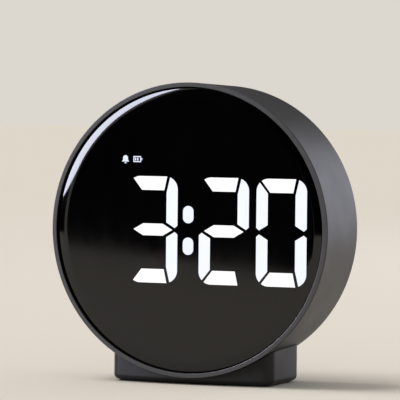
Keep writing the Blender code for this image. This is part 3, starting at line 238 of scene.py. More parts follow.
GROUPS = {
    "clock_drum": ClockDrumSizes,
    "clock_display": ClockDisplaySizes,
    "clock_foot": ClockFootSizes,
    "clock_rear": ClockRearSizes,
    "clock_colours": ClockColours,
    "clock_view": ClockView,
}


def settings(name):
    return getattr(bpy.context.scene, name)


# ---------------------------------------------------------------- shape helpers


def drum_radius(y):
    """Outer radius of the drum at a depth."""
    drum = settings("clock_drum")
    return RING_RADIUS - drum.shell_taper * (y - FRONT_Y) / (REAR_Y - FRONT_Y)


def arc(centre, radius, start, end, steps):
    """Points on an arc, angles in degrees counted from +X towards the second coordinate."""
    points = []
    for i in range(steps + 1):
        angle = math.radians(start + (end - start) * i / steps)
        points.append((centre[0] + radius * math.cos(angle), centre[1] + radius * math.sin(angle)))
    return points


def circle(radius, centre=(0, 0), sides=48):
    return arc(centre, radius, 0, 360, sides)[:-1]


def rounded_rectangle(width, height, radius, centre=(0, 0), steps=8):
    x = width / 2 - radius
    z = height / 2 - radius
    points = []
    for cx, cz, start in ((x, z, 0), (-x, z, 90), (-x, -z, 180), (x, -z, 270)):
        points += arc((centre[0] + cx, centre[1] + cz), radius, start, start + 90, steps)
    return points


def moved(points, x, z):
    return [(px + x, pz + z) for px, pz in points]


def filleted(corners, steps=6, support=0.05 * MM):
    """A closed profile from (radius, y, fillet) corners, with a point just outside each fillet."""
    points = []
    for i, (r, y, fillet) in enumerate(corners):
        here = Vector((r, y))
        if not fillet:
            points.append((r, y))
            continue
        before = (Vector(corners[i - 1][:2]) - here).normalized()
        after = (Vector(corners[(i + 1) % len(corners)][:2]) - here).normalized()
        half = before.angle(after) / 2
        reach = fillet / math.tan(half)
        middle = here + (before + after).normalized() * (fillet / math.sin(half))
        start = here + before * reach - middle
        end = here + after * reach - middle
        turn = start.angle_signed(end)
        points.append(tuple(here + before * (reach + support)))
        for k in range(steps + 1):
            points.append(tuple(middle + Matrix.Rotation(-turn * k / steps, 2) @ start))
        points.append(tuple(here + after * (reach + support)))
    return points


def spin(bm, profile, sides, centre=(0, 0)):
    """Adds a solid turned about the line through (x, z) = centre from the drum's axis, parallel to Y."""
    place = Vector((centre[0], 0, centre[1]))
    verts = [bm.verts.new(place + Vector((max(r, 0), y, 0))) for r, y in profile]
    edges = [bm.edges.new((verts[i - 1], verts[i])) for i in range(len(verts))]
    on_axis = [e for e in edges if all((v.co - place).x < 1e-9 for v in e.verts)]
    bmesh.ops.delete(bm, geom=on_axis, context="EDGES_FACES")
    kept = [g for g in [*verts, *edges] if g.is_valid]
    whole = {"angle": math.tau, "use_merge": True, "use_duplicate": False}
    bmesh.ops.spin(bm, geom=kept, cent=place, axis=(0, 1, 0), steps=sides, **whole)
    bmesh.ops.remove_doubles(bm, verts=bm.verts, dist=1e-7)


def extrude(bm, outline, start, end, holes=(), upright=False):
    """Adds a plate with holes: (x, z) outlines swept along Y, or (x, y) outlines along Z if upright."""
    sweep = Vector((0, 0, end - start)) if upright else Vector((0, end - start, 0))
    edges = []
    for loop in (outline, *holes):
        verts = [bm.verts.new((u, v, start) if upright else (u, start, v)) for u, v in loop]
        edges += [bm.edges.new((verts[i - 1], verts[i])) for i in range(len(verts))]
    filled = bmesh.ops.triangle_fill(bm, use_beauty=True, edges=edges)
    faces = [g for g in filled["geom"] if isinstance(g, bmesh.types.BMFace)]
    swept = bmesh.ops.extrude_face_region(bm, geom=faces)
    top = [g for g in swept["geom"] if isinstance(g, bmesh.types.BMVert)]
    bmesh.ops.translate(bm, vec=sweep, verts=top)


def loft(bm, loops):
    """Adds a closed solid through equal loops of points, capped at both ends."""
    rows = [[bm.verts.new(p) for p in loop] for loop in loops]
    for low, high in zip(rows, rows[1:]):
        for i in range(len(low)):
            bm.faces.new((low[i - 1], low[i], high[i], high[i - 1]))
    bm.faces.new(list(reversed(rows[0])))
    bm.faces.new(rows[-1])


def middle_of(name):
    """The (x, z) middle of a CAD node, from the drum's axis."""
    low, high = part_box(name)
    return (low.x + high.x) / 2, (low.z + high.z) / 2 - AXIS_Z


def screw_spots(prefix):
    """The (x, z) places, from the drum's axis, of the screws whose names start so."""
    return [middle_of(name) for name in sorted(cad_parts) if name.startswith(prefix)]


def piece(name, bm, material, lift=AXIS_Z, smooth=20):
    """Turns a bmesh into a piece with outward faces, its place in its mesh."""
    bmesh.ops.translate(bm, vec=(0, 0, lift), verts=bm.verts)
    bmesh.ops.recalc_face_normals(bm, faces=bm.faces)
    mesh = bpy.data.meshes.new(name)
    bm.to_mesh(mesh)
    bm.free()
    mesh.shade_smooth()
    mesh.set_sharp_from_angle(angle=math.radians(smooth))
    made = bpy.data.objects.new(name, mesh)
    bpy.context.scene.collection.objects.link(made)
    if material:
        mesh.materials.append(material)
    return made


def evaluated(obj, smooth=None):
    """Replaces an object's mesh with what its modifiers make, and removes the modifiers."""
    graph = bpy.context.evaluated_depsgraph_get()
    graph.update()
    mesh = bpy.data.meshes.new_from_object(obj.evaluated_get(graph))
    obj.modifiers.clear()
    obj.data = mesh
    if smooth is not None:
        mesh.shade_smooth()
        mesh.set_sharp_from_angle(angle=math.radians(smooth))
    return obj


def cut(target, *cutters, operation="DIFFERENCE"):
    """Applies Booleans with guide objects, which are then removed."""
    for guide in cutters:
        modifier = target.modifiers.new(guide.name, "BOOLEAN")
        modifier.operation = operation
        modifier.solver = "EXACT"
        modifier.object = guide
    evaluated(target, 20)
    for guide in cutters:
        bpy.data.objects.remove(guide)


def bevelled(made, width):
    """Rounds a plate's square edges and the rims of its holes."""
    bevel = made.modifiers.new("edges", "BEVEL")
    bevel.width = width
    bevel.segments = 2
    bevel.limit_method = "ANGLE"
    bevel.angle_limit = math.radians(60)
    evaluated(made, 12)


def settle(made, slot, *nodes, body="root"):
    """Rides a finished piece on its body, in place of CAD nodes. The slot it is given is not used."""
    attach(made, body)
    if nodes:
        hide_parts(*nodes)


# ---------------------------------------------------------------- nodes and materials


def node(tree, kind, links=None, values=None, **settings_of):
    """Adds a node with its settings, its sockets' values and its links, each from (node, output)."""
    made = tree.nodes.new(kind)
    for name, value in settings_of.items():
        setattr(made, name, value)
    for name, value in (values or {}).items():
        made.inputs[name].default_value = value
    for name, (source, output) in (links or {}).items():
        tree.links.new(source.outputs[output], made.inputs[name])
    return made


def per_metre(millimetres):
    """The scale of a pattern whose feature is this many millimetres."""
    return 1 / (millimetres * MM)


def shades(colour_value, dark, light):
    """Two shares of a colour, which a pattern runs between."""
    return [[min(1, v * share) for v in colour_value] for share in (dark, light)]


def new_material(name):
    """A material with an empty tree, and a node of Object coordinates in it."""
    material = bpy.data.materials.new(name)
    material.use_nodes = True
    material.node_tree.nodes.clear()
    return material, material.node_tree, node(material.node_tree, "ShaderNodeTexCoord")


def complete(tree, tones, tone, roughness, gloss=None, height=None, relief=0, **sockets):
    """Ends a tree in its shader. tone, gloss and height are the (node, output) that drive its look.

    tones are two colours, roughness is one number or the two that gloss runs between, and relief is in mm.
    """
    values = {"Color1": (*tones[0], 1), "Color2": (*tones[1], 1)}
    mixed = node(tree, "ShaderNodeMixRGB", {"Fac": tone}, values)
    links = {"Base Color": (mixed, "Color")}
    values = {socket.replace("_", " "): value for socket, value in sockets.items()}
    if gloss:
        ends = {"From Min": 0.3, "From Max": 0.7, "To Min": roughness[0], "To Max": roughness[1]}
        links["Roughness"] = (node(tree, "ShaderNodeMapRange", {"Value": gloss}, ends), "Result")
    else:
        values["Roughness"] = roughness
    if relief:
        bump = node(tree, "ShaderNodeBump", {"Height": height}, {"Strength": 1.0, "Distance": relief * MM})
        links["Normal"] = (bump, "Normal")
    shader = node(tree, "ShaderNodeBsdfPrincipled", links, values)
    node(tree, "ShaderNodeOutputMaterial", {"Surface": (shader, "BSDF")})


def grained(name, tones, roughness, cloud, grain=None, relief=0, gloss_in_grain=False, **sockets):
    """A material whose tone and gloss drift in clouds and whose surface has a grain.

    A pattern is (feature in mm, detail, roughness) and may end with its stretch along X, Y and Z.
    """
    material, tree, where = new_material(name)
    patterns = []
    for size, detail, rough, *stretch in (cloud, grain) if grain else (cloud,):
        source = (where, "Object")
        if stretch:
            source = (node(tree, "ShaderNodeMapping", {"Vector": source}, {"Scale": stretch}), "Vector")
        values = {"Scale": per_metre(size), "Detail": detail, "Roughness": rough}
        patterns.append((node(tree, "ShaderNodeTexNoise", {"Vector": source}, values), "Fac"))
    drift, height = patterns[0], patterns[-1]
    gloss = (height if gloss_in_grain else drift) if isinstance(roughness, tuple) else None
    complete(tree, tones, drift, roughness, gloss, height, relief, **sockets)
    return material


def textured_abs(name, colour_value, roughness, grain=0.5, relief=0.012, shine=0.5):
    """Moulded ABS with a spark-eroded texture: a soft satin sheen broken up by a fine even grain.

    The real grain is about 0.1 mm and is drawn several times coarser so that it shows at all.
    """
    tones = shades(colour_value, 0.93, 1.08)
    ends = (roughness - 0.03, roughness + 0.03)
    grain = (grain, 2.0, 0.55)
    return grained(name, tones, ends, (22.0, 3.0, 0.55), grain, relief, IOR=1.46, Specular_IOR_Level=shine)


def satin_paint():
    """Satin two-part paint on the ring: smooth, with a slight orange peel of about a millimetre."""
    tones = shades(settings("clock_colours").ring, 0.95, 1.06)
    cloud, peel = (30.0, 2.0, 0.55), (1.2, 2.0, 0.55)
    return grained("satin_paint", tones, (0.3, 0.36), cloud, peel, 0.004, gloss_in_grain=True, IOR=1.5)


def smoked_acrylic():
    """Polished smoked acrylic with black behind it: a deep mirror gloss with a few faint wiping marks."""
    tones = shades(settings("clock_colours").lens, 1.0, 2.0)
    wiping = (9.0, 4.0, 0.6, 1.0, 1.0, 0.35)
    return grained("smoked_acrylic", tones, (0.045, 0.075), wiping, IOR=1.5)


def lit_film():
    """Light from LEDs through a diffuser film: even and cool white, a little softer at each bar's border."""
    colours = settings("clock_colours")
    material, tree, where = new_material("lit_film")
    glow = node(tree, "ShaderNodeAttribute", attribute_name="glow", attribute_type="GEOMETRY")
    values = {"Scale": per_metre(4.0), "Detail": 2.0, "Roughness": 0.55}
    cloud = node(tree, "ShaderNodeTexNoise", {"Vector": (where, "Object")}, values)
    links = {0: (cloud, "Fac"), 2: (glow, "Fac")}
    level = node(tree, "ShaderNodeMath", links, {1: 0.12}, operation="MULTIPLY_ADD")
    values = {"Color1": (*colours.light_edge, 1), "Color2": (*colours.light, 1)}
    light = node(tree, "ShaderNodeMixRGB", {"Fac": (level, "Value")}, values)
    values = {"Base Color": (0.02, 0.02, 0.02, 1), "Roughness": 0.6, "Emission Strength": 1.0}
    shader = node(tree, "ShaderNodeBsdfPrincipled", {"Emission Color": (light, "Color")}, values)
    node(tree, "ShaderNodeOutputMaterial", {"Surface": (shader, "BSDF")})
    return material


def plated_steel(name, colour_value, roughness, brush=(1.0, 0.05, 1.0)):
    """Plated sheet steel: a soft metallic shine with fine drawing marks along its length."""
    marks = (0.25, 3.0, 0.6, *brush)
    ends = (roughness - 0.06, roughness + 0.08)
    return grained(name, shades(colour_value, 0.88, 1.05), ends, marks, relief=0.004, Metallic=1.0)


def moulded_rubber(name, colour_value):
    """Moulded silicone rubber: matt and slightly dusty, with a fine sand-like grain."""
    dust = (6.0, 4.0, 0.7)
    tones = shades(colour_value, 1.0, 1.7)
    return grained(name, tones, (0.75, 0.9), dust, (0.35, 3.0, 0.55), 0.03, Specular_IOR_Level=0.15)


def cell_foam():
    """Black closed-cell foam: very matt, with small round cells."""
    material, tree, where = new_material("cell_foam")
    cells = node(tree, "ShaderNodeTexVoronoi", {"Vector": (where, "Object")}, {"Scale": per_metre(0.5)})
    cells = (cells, "Distance")
    complete(tree, shades(linear("121212"), 0.5, 1.8), cells, 0.95, height=cells, relief=0.08)
    return material


def moulded_nylon(name, colour_value, roughness=0.5):
    """Small injection-moulded part, smooth with faint flow marks."""
    ends = (roughness - 0.06, roughness + 0.06)
    return grained(name, shades(colour_value, 0.9, 1.05), ends, (2.5, 3.0, 0.55), relief=0.01)


def solder_mask():
    """Glass-epoxy board under green solder mask: glossy, with raised copper runs and pale cut edges."""
    material, tree, where = new_material("solder_mask")
    turn = {"Rotation": (math.radians(90), 0, 0)}
    mapping = node(tree, "ShaderNodeMapping", {"Vector": (where, "Object")}, turn)
    values = {"Scale": 1.0, "Brick Width": 9.0 * MM, "Row Height": 1.3 * MM, "Mortar Size": 0.2 * MM}
    runs = node(tree, "ShaderNodeTexBrick", {"Vector": (mapping, "Vector")}, values, offset=0.37, squash=1.6)
    face = node(tree, "ShaderNodeNewGeometry")
    split = node(tree, "ShaderNodeSeparateXYZ", {"Vector": (face, "Normal")})
    flat = node(tree, "ShaderNodeMath", {0: (split, "Y")}, operation="ABSOLUTE")
    edge = node(tree, "ShaderNodeMath", {0: (flat, "Value")}, {1: 0.5}, operation="LESS_THAN")
    dark, light = shades(settings("clock_colours").board, 0.85, 1.5)
    values = {"Color1": (*dark, 1), "Color2": (*light, 1)}
    copper = node(tree, "ShaderNodeMixRGB", {"Fac": (runs, "Fac")}, values)
    links = {"Fac": (edge, "Value"), "Color1": (copper, "Color")}
    cut_edge = node(tree, "ShaderNodeMixRGB", links, {"Color2": (*linear("b3a06a"), 1)})
    bump = node(tree, "ShaderNodeBump", {"Height": (runs, "Fac")}, {"Strength": 1.0, "Distance": 0.03 * MM})
    links = {"Base Color": (cut_edge, "Color"), "Normal": (bump, "Normal")}
    shader = node(tree, "ShaderNodeBsdfPrincipled", links, {"Roughness": 0.32, "IOR": 1.55})
    node(tree, "ShaderNodeOutputMaterial", {"Surface": (shader, "BSDF")})
    return material


def battery_laminate():
    """Aluminised laminate of a pouch cell: silver grey, with soft dents and a yellow tape over its top seam."""
    material, tree, where = new_material("battery_laminate")
    values = {"Scale": per_metre(7.0), "Detail": 3.0, "Roughness": 0.55}
    dents = (node(tree, "ShaderNodeTexNoise", {"Vector": (where, "Object")}, values), "Fac")
    split = node(tree, "ShaderNodeSeparateXYZ", {"Vector": (where, "Object")})
    seam_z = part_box("battery_cell")[1].z - TAPE_WIDTH
    seam = node(tree, "ShaderNodeMath", {0: (split, "Z")}, {1: seam_z}, operation="GREATER_THAN")
    tones = (linear("9aa3ad"), linear("c08a1e"))
    complete(tree, tones, (seam, "Value"), (0.28, 0.42), dents, dents, 0.15, Metallic=0.5)
    return material


def flat_cable():
    """White polyester flat cable: tinned conductors a millimetre apart show through as faint grey lines."""
    material, tree, where = new_material("flat_cable")
    # The texture's bands are a full turn of 20 times the place, so this spaces them a millimetre apart
    values = {"Scale": per_metre(1.0) * math.tau / 20}
    links = {"Vector": (where, "Object")}
    lines = (node(tree, "ShaderNodeTexWave", links, values, wave_type="BANDS", bands_direction="X"), "Fac")
    complete(tree, (linear("b8b4a6"), linear("e2e0d8")), lines, 0.4, height=lines, relief=0.03)
    return material


def wire_insulation(name, colour_value):
    """Extruded PVC insulation: smooth, with a slight unevenness along the lead."""
    return grained(name, shades(colour_value, 0.85, 1.1), (0.35, 0.48), (3.0, 2.0, 0.55), relief=0.02)


def pressed_paper():
    """Black pressed-pulp speaker cone: matt, with short fibres."""
    fibres = (0.5, 5.0, 0.7, 1.0, 1.0, 0.3)
    return grained("pressed_paper", shades(linear("1c1c1c"), 0.6, 1.9), 0.92, fibres, relief=0.06)


def gold_plate():
    """Thin gold plate on spring contacts: warm and bright, with slight rubbing marks."""
    rubbing = (0.3, 3.0, 0.6, 1.0, 0.1, 1.0)
    return grained("gold_plate", shades(linear("d9b25a"), 0.9, 1.05), (0.2, 0.36), rubbing, Metallic=1.0)


def studio_paper(name, colour_value, **sockets):
    """Matt studio paper: plain, with the faintest tooth."""
    tones = shades(colour_value, 0.985, 1.0)
    return grained(name, tones, 0.9, (30.0, 2.0, 0.55), Specular_IOR_Level=0.02, **sockets)


# ---------------------------------------------------------------- geometry-node helpers


def geometry_tree(name, inputs):
    """A tree with a Geometry input and output, and named number inputs of (type, default)."""
    tree = bpy.data.node_groups.new(name, "GeometryNodeTree")
    tree.interface.new_socket("Geometry", in_out="INPUT", socket_type="NodeSocketGeometry")
    tree.interface.new_socket("Geometry", in_out="OUTPUT", socket_type="NodeSocketGeometry")
    for label, (kind, value) in inputs.items():
        socket = tree.interface.new_socket(label, in_out="INPUT", socket_type=kind)
        if value is not None:
            socket.default_value = value
    return tree, node(tree, "NodeGroupInput"), node(tree, "NodeGroupOutput")


def finish_tree(tree, source, output, group, out):
    """Ends a tree in Realize Instances and Set Material."""
    real = node(tree, "GeometryNodeRealizeInstances", {"Geometry": (source, output)})
    links = {"Geometry": (real, "Geometry"), "Material": (group, "Material")}
    painted = node(tree, "GeometryNodeSetMaterial", links)
    tree.links.new(painted.outputs["Geometry"], out.inputs["Geometry"])


def run_tree(obj, tree, **values):
    """Runs a tree on an object and keeps its result as a plain mesh."""
    modifier = obj.modifiers.new(tree.name, "NODES")
    modifier.node_group = tree
    for item in tree.interface.items_tree:
        if item.in_out == "INPUT" and item.name.replace(" ", "_") in values:
            modifier[item.identifier] = values[item.name.replace(" ", "_")]
    return evaluated(obj)


def turned_ring_tree():
    """A closed profile swept round the drum's axis. Its X counts outwards from the path and its Y is depth."""
    inputs = {
        "Path Radius": ("NodeSocketFloat", RING_RADIUS),
        "Sides": ("NodeSocketInt", 256),
        "Material": ("NodeSocketMaterial", None),
    }
    tree, group, out = geometry_tree("turned_ring", inputs)
    profile = node(tree, "GeometryNodeMeshToCurve", {"Mesh": (group, "Geometry")})
    links = {"Resolution": (group, "Sides"), "Radius": (group, "Path Radius")}
    path = node(tree, "GeometryNodeCurvePrimitiveCircle", links)
    links = {"Curve": (path, "Curve"), "Profile Curve": (profile, "Curve")}
    swept = node(tree, "GeometryNodeCurveToMesh", links)
    turn = {"Rotation": (math.radians(90), 0, 0)}
    upright = node(tree, "GeometryNodeTransform", {"Geometry": (swept, "Mesh")}, turn)
    finish_tree(tree, upright, "Geometry", group, out)
    return tree


def turned_ring(name, profile, material, sides=256):
    """A piece turned round the drum's axis, from a closed profile of (radius, y) points."""
    mesh = bpy.data.meshes.new(name)
    edges = [(i, (i + 1) % len(profile)) for i in range(len(profile))]
    mesh.from_pydata([(r - RING_RADIUS, y, 0) for r, y in profile], edges, [])
    made = bpy.data.objects.new(name, mesh)
    bpy.context.scene.collection.objects.link(made)
    tree = bpy.data.node_groups.get("turned_ring") or turned_ring_tree()
    run_tree(made, tree, Sides=sides, Material=material)
    bm = bmesh.new()
    bm.from_mesh(made.data)
    bpy.data.objects.remove(made)
    return bm


def copies_tree():
    """Copies of a part at each point of the mesh."""
    inputs = {"Part": ("NodeSocketObject", None), "Material": ("NodeSocketMaterial", None)}
    tree, group, out = geometry_tree("copies_at_points", inputs)
    part = node(tree, "GeometryNodeObjectInfo", {"Object": (group, "Part")})
    links = {"Points": (group, "Geometry"), "Instance": (part, "Geometry")}
    copies = node(tree, "GeometryNodeInstanceOnPoints", links)
    finish_tree(tree, copies, "Instances", group, out)
    return tree


def copies(name, part, spots, material):
    """One mesh of copies of a part at (x, y, z) spots. The part is removed."""
    mesh = bpy.data.meshes.new(name)
    mesh.from_pydata(spots, [], [])
    made = bpy.data.objects.new(name, mesh)
    bpy.context.scene.collection.objects.link(made)
    tree = bpy.data.node_groups.get("copies_at_points") or copies_tree()
    run_tree(made, tree, Part=part, Material=material)
    bpy.data.objects.remove(part)
    return made


# ---------------------------------------------------------------- drum


class CLOCK_OT_front_ring(bpy.types.Operator):
    """Make the painted ring round the lens"""

    bl_idname = "clock.front_ring"
    bl_label = "Front Ring"

    def execute(self, context):
        drum = settings("clock_drum")
        inner = RING_RADIUS - drum.ring_face
        web = inner + drum.ring_web
        ledge = inner - drum.ring_ledge
        back = RING_HIGH.y
        seat = back - drum.ring_ledge_thickness
        lip = FRONT_Y + drum.ring_lip
        corners = [
            (inner, FRONT_Y, drum.ring_inner_edge),
            (RING_RADIUS, FRONT_Y, drum.ring_edge),
            (RING_RADIUS, lip, 0.1 * MM),
            (web, lip, 0),
            (web, back, 0),
            (ledge, back, 0),
            (ledge, seat, 0),
            (inner, seat, 0),
        ]
        paint = satin_paint()
        made = piece("ring", turned_ring("ring_sweep", filleted(corners), paint), paint)
        # The faces behind the lip and the lens's seat get near-black rubber. This is partly bare plastic under
        # the paint and partly painted shade, darker still for the shadow gap between ring and shell.
        made.data.materials.append(moulded_rubber("unpainted_groove", linear("060606")))
        for face in made.data.polygons:
            middle = face.center
            out = math.hypot(middle.x, middle.z - AXIS_Z)
            face.material_index = int(middle.y > lip - 0.05 * MM or out < inner - 0.05 * MM)
        settle(made, "ring", "front_ring")
        return {"FINISHED"}


class CLOCK_OT_front_lens(bpy.types.Operator):
    """Make the gloss lens with its rounded rim"""

    bl_idname = "clock.front_lens"
    bl_label = "Front Lens"

    def execute(self, context):
        drum = settings("clock_drum")
        face = FRONT_Y + drum.light_recess
        flat = LENS_RADIUS - drum.lens_rim
        profile = [(0, face), (flat / 2, face), (flat - 0.1 * MM, face)]
        steep = 2 * math.atan(drum.lens_drop / drum.lens_rim)
        bend = drum.lens_rim / math.sin(steep)
        steps = 24
        for k in range(steps + 1):
            angle = steep * k / steps
            profile.append((flat + bend * math.sin(angle), face + bend * (1 - math.cos(angle))))
        profile += [(LENS_RADIUS, LENS_HIGH.y), (0, LENS_HIGH.y)]
        bm = bmesh.new()
        spin(bm, profile, 256)
        settle(piece("lens", bm, smoked_acrylic()), "smoked_lens", "front_lens")
        return {"FINISHED"}


class CLOCK_OT_shell(bpy.types.Operator):
    """Make the drum's shell with its flange, bosses and ribs"""

    bl_idname = "clock.shell"
    bl_label = "Shell"

    def execute(self, context):
        drum = settings("clock_drum")
        front = SHELL_LOW.y
        wall = drum.shell_wall
        rebate = RING_RADIUS - drum.ring_face + drum.ring_web + FIT
        flange_front = RING_HIGH.y + FIT
        flange_back = flange_front + FLANGE_THICKNESS
        corners = [
            (drum_radius(front), front, drum.shell_front_edge),
            (drum_radius(REAR_Y), REAR_Y, drum.shell_rear_edge),
            (drum_radius(REAR_Y) - wall, REAR_Y, 0.3 * MM),
            (drum_radius(flange_front) - wall, flange_front, 0),
            (rebate, flange_front, 0),
            (rebate, front, 0.1 * MM),
        ]
        material = textured_abs("shell_abs", settings("clock_colours").shell, 0.45)
        bm = turned_ring("shell_sweep", filleted(corners), material)
        outer = drum_radius(flange_back) - wall + 0.4 * MM
        inner = RING_RADIUS - wall - FLANGE_WIDTH
        window = settings("clock_display").digit_height / 2 + FLANGE_WINDOW_MARGIN
        wide = math.degrees(math.asin(window / outer))
        narrow = math.degrees(math.asin(window / inner))
        for turn in (1, -1):
            outline = arc((0, 0), outer, wide, 180 - wide, 64)
            outline += arc((0, 0), inner, 180 - narrow, narrow, 48)
            extrude(bm, [(x, z * turn) for x, z in outline], flange_front + 0.001 * MM, flange_back)
        self.add_bosses(bm, flange_back)
        settle(piece("shell", bm, material), "drum_shell", "main_shell")
        return {"FINISHED"}

    def add_bosses(self, bm, flange_back):
        """Screw bosses on the flange and along the wall, each with its blind hole, and ribs to the wall."""
        board_front, board_back = (corner.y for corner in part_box("display_board"))
        mouth = board_front - FIT
        base = flange_back - JOINED
        profile = [(0, flange_back), (SCREW_HOLE_RADIUS, flange_back), (SCREW_HOLE_RADIUS, mouth)]
        profile += [(BOSS_RADIUS, mouth), (BOSS_RADIUS, base), (0, base)]
        for spot in screw_spots("display_screw"):
            spin(bm, profile, 32, spot)
        end = COVER_INSIDE - FIT
        start = board_back + BOSS_ROOM
        floor = end - COVER_SCREW_DEPTH
        profile = [(0, floor), (SCREW_HOLE_RADIUS, floor), (SCREW_HOLE_RADIUS, end)]
        profile += [(BOSS_RADIUS, end), (BOSS_RADIUS, start), (0, start)]
        wall_radius = drum_radius(REAR_Y) - 0.8 * MM
        half = RIB_THICKNESS / 2
        for x, z in screw_spots("cover_screw"):
            spin(bm, profile, 32, (x, z))
            root = math.copysign(abs(x) + BOSS_RADIUS - 0.4 * MM, x)
            tip = math.copysign(math.sqrt(wall_radius**2 - (abs(z) + half) ** 2), x)
            rib = [(root, z - half), (tip, z - half), (tip, z + half), (root, z + half)]
            extrude(bm, rib, start + half, end - half)
        for x, _ in screw_spots("foot_screw"):
            bottom = -math.sqrt((RING_RADIUS - 1.4 * MM) ** 2 - (abs(x) - BOSS_RADIUS) ** 2)
            hole = circle(SCREW_HOLE_RADIUS, (x, 0), 32)
            extrude(bm, circle(BOSS_RADIUS, (x, 0), 32), bottom, FOOT_BOSS_TOP - AXIS_Z, [hole], upright=True)


# ---------------------------------------------------------------- display


def bar_outlines():
    """The seven bars of one digit about its centre, named a (top) round to g (middle)."""
    s = settings("clock_display")
    half_w = s.digit_width / 2
    half_h = s.digit_height / 2
    inner_x = half_w - s.bar
    inner_z = half_h - s.cap
    bevel = s.gap * 0.75
    corner = (half_w - s.corner, half_h - s.corner)
    tip = s.gap * 0.6
    top = arc((-corner[0], corner[1]), s.corner, 125, 90, 8)
    top += [(corner[0] + s.gap * 0.45, half_h), (inner_x - bevel, inner_z), (bevel - inner_x, inner_z)]
    right = arc(corner, s.corner, 69, 0, 14)
    right += [(half_w, tip + bevel), (half_w - s.bar * 0.25, tip)]
    right += [(inner_x, s.bar / 2 + s.gap * 0.4), (inner_x, inner_z - bevel)]
    left = arc((-corner[0], corner[1]), s.corner, 180, 137, 10)
    left += [(-inner_x, inner_z - bevel * 0.3), (-inner_x, s.bar / 2 + s.gap * 0.4)]
    left += [(-half_w + s.bar * 0.25, tip), (-half_w, tip + bevel)]
    side = inner_x - bevel * 1.6
    point = inner_x + s.bar * 0.54
    middle = [(-point, 0), (-side, s.bar / 2), (side, s.bar / 2)]
    middle += [(point, 0), (side, -s.bar / 2), (-side, -s.bar / 2)]
    low_right, bottom, low_left = ([(x, -z) for x, z in points] for points in (right, top, left))
    return {"a": top, "b": right, "c": low_right, "d": bottom, "e": low_left, "f": left, "g": middle}


def light_bar(bm, glow, outline, back, front, level):
    """Adds one lit shape: a thin plate whose face has a soft border round a middle of a brightness."""
    border = settings("clock_display").border
    area = sum(x0 * z1 - x1 * z0 for (x0, z0), (x1, z1) in zip(outline, outline[1:] + outline[:1]))
    if area < 0:
        outline = outline[::-1]
    low = [bm.verts.new((x, back, z)) for x, z in outline]
    high = [bm.verts.new((x, front, z)) for x, z in outline]
    for i in range(len(low)):
        bm.faces.new((low[i - 1], low[i], high[i], high[i - 1]))
    bm.faces.new(low)
    face = bm.faces.new(high)
    bmesh.ops.inset_region(bm, faces=[face], thickness=border, use_even_offset=True)
    for vert in face.verts:
        vert[glow] = level


def bell_shape(size):
    """A bell: dome, flared rim and clapper."""
    dome = arc((0, 0.1 * size), 0.27 * size, 180, 0, 12)
    skirt = [(0.27 * size, -0.12 * size), (0.42 * size, -0.27 * size), (-0.42 * size, -0.27 * size)]
    clapper = arc((0, -0.34 * size), 0.12 * size, 180, 360, 8)
    return [dome + skirt + [(-0.27 * size, -0.12 * size)], clapper]


def battery_shape(size):
    """A battery on its side: a thin frame, an end cap and two charge bars."""
    corner = 0.03 * size
    frame_rails = [(0.84, 0.1, -0.04, -0.25), (0.84, 0.1, -0.04, 0.25)]
    frame_ends = [(0.1, 0.4, -0.41, 0), (0.1, 0.4, 0.33, 0)]
    end_cap = [(0.1, 0.22, 0.46, 0)]
    charge = [(0.14, 0.28, -0.22, 0), (0.14, 0.28, 0.02, 0)]
    return [
        rounded_rectangle(width * size, height * size, corner, (x * size, z * size), 3)
        for width, height, x, z in frame_rails + frame_ends + end_cap + charge
    ]


class CLOCK_OT_lit_display(bpy.types.Operator):
    """Make the lit digits, dots and signs on the lens"""

    bl_idname = "clock.lit_display"
    bl_label = "Lit Display"

    def execute(self, context):
        s = settings("clock_display")
        back = FRONT_Y + settings("clock_drum").light_recess + s.proud / 2
        front = back - s.proud
        film = lit_film()
        bars = bar_outlines()
        inner_x = s.dot_width / 2 + s.dot_gap + s.digit_width / 2
        outer_x = inner_x + s.digit_width + s.digit_gap
        digits = {
            "digit_hours": ("abgcd", -inner_x),
            "digit_tens": ("abged", inner_x),
            "digit_ones": ("abcdef", outer_x),
        }
        level = {bar: 0.95 if bar in "adg" else 0.6 for bar in bars}
        shapes = {}
        for name, (lit, x) in digits.items():
            shapes[name] = [(moved(bars[bar], x, 0), level[bar]) for bar in lit]
        dot = rounded_rectangle(s.dot_width, s.dot_height, s.dot_width * 0.48, (0, 0), 10)
        shapes["colon_dots"] = [(moved(dot, 0, z), 0.45) for z in (-s.dot_z, s.dot_z)]
        shapes["bell_sign"] = [(moved(p, BELL_SIGN_X, s.sign_z), 0.3) for p in bell_shape(s.sign)]
        shapes["battery_sign"] = [(moved(p, BATTERY_SIGN_X, s.sign_z), 0.3) for p in battery_shape(s.sign)]
        for name, outlines in shapes.items():
            bm = bmesh.new()
            glow = bm.verts.layers.float.new("glow")
            for outline, brightness in outlines:
                light_bar(bm, glow, moved(outline, s.shift, 0), back, front, brightness)
            settle(piece(name, bm, film), "lit_display")
        return {"FINISHED"}


# ---------------------------------------------------------------- rear


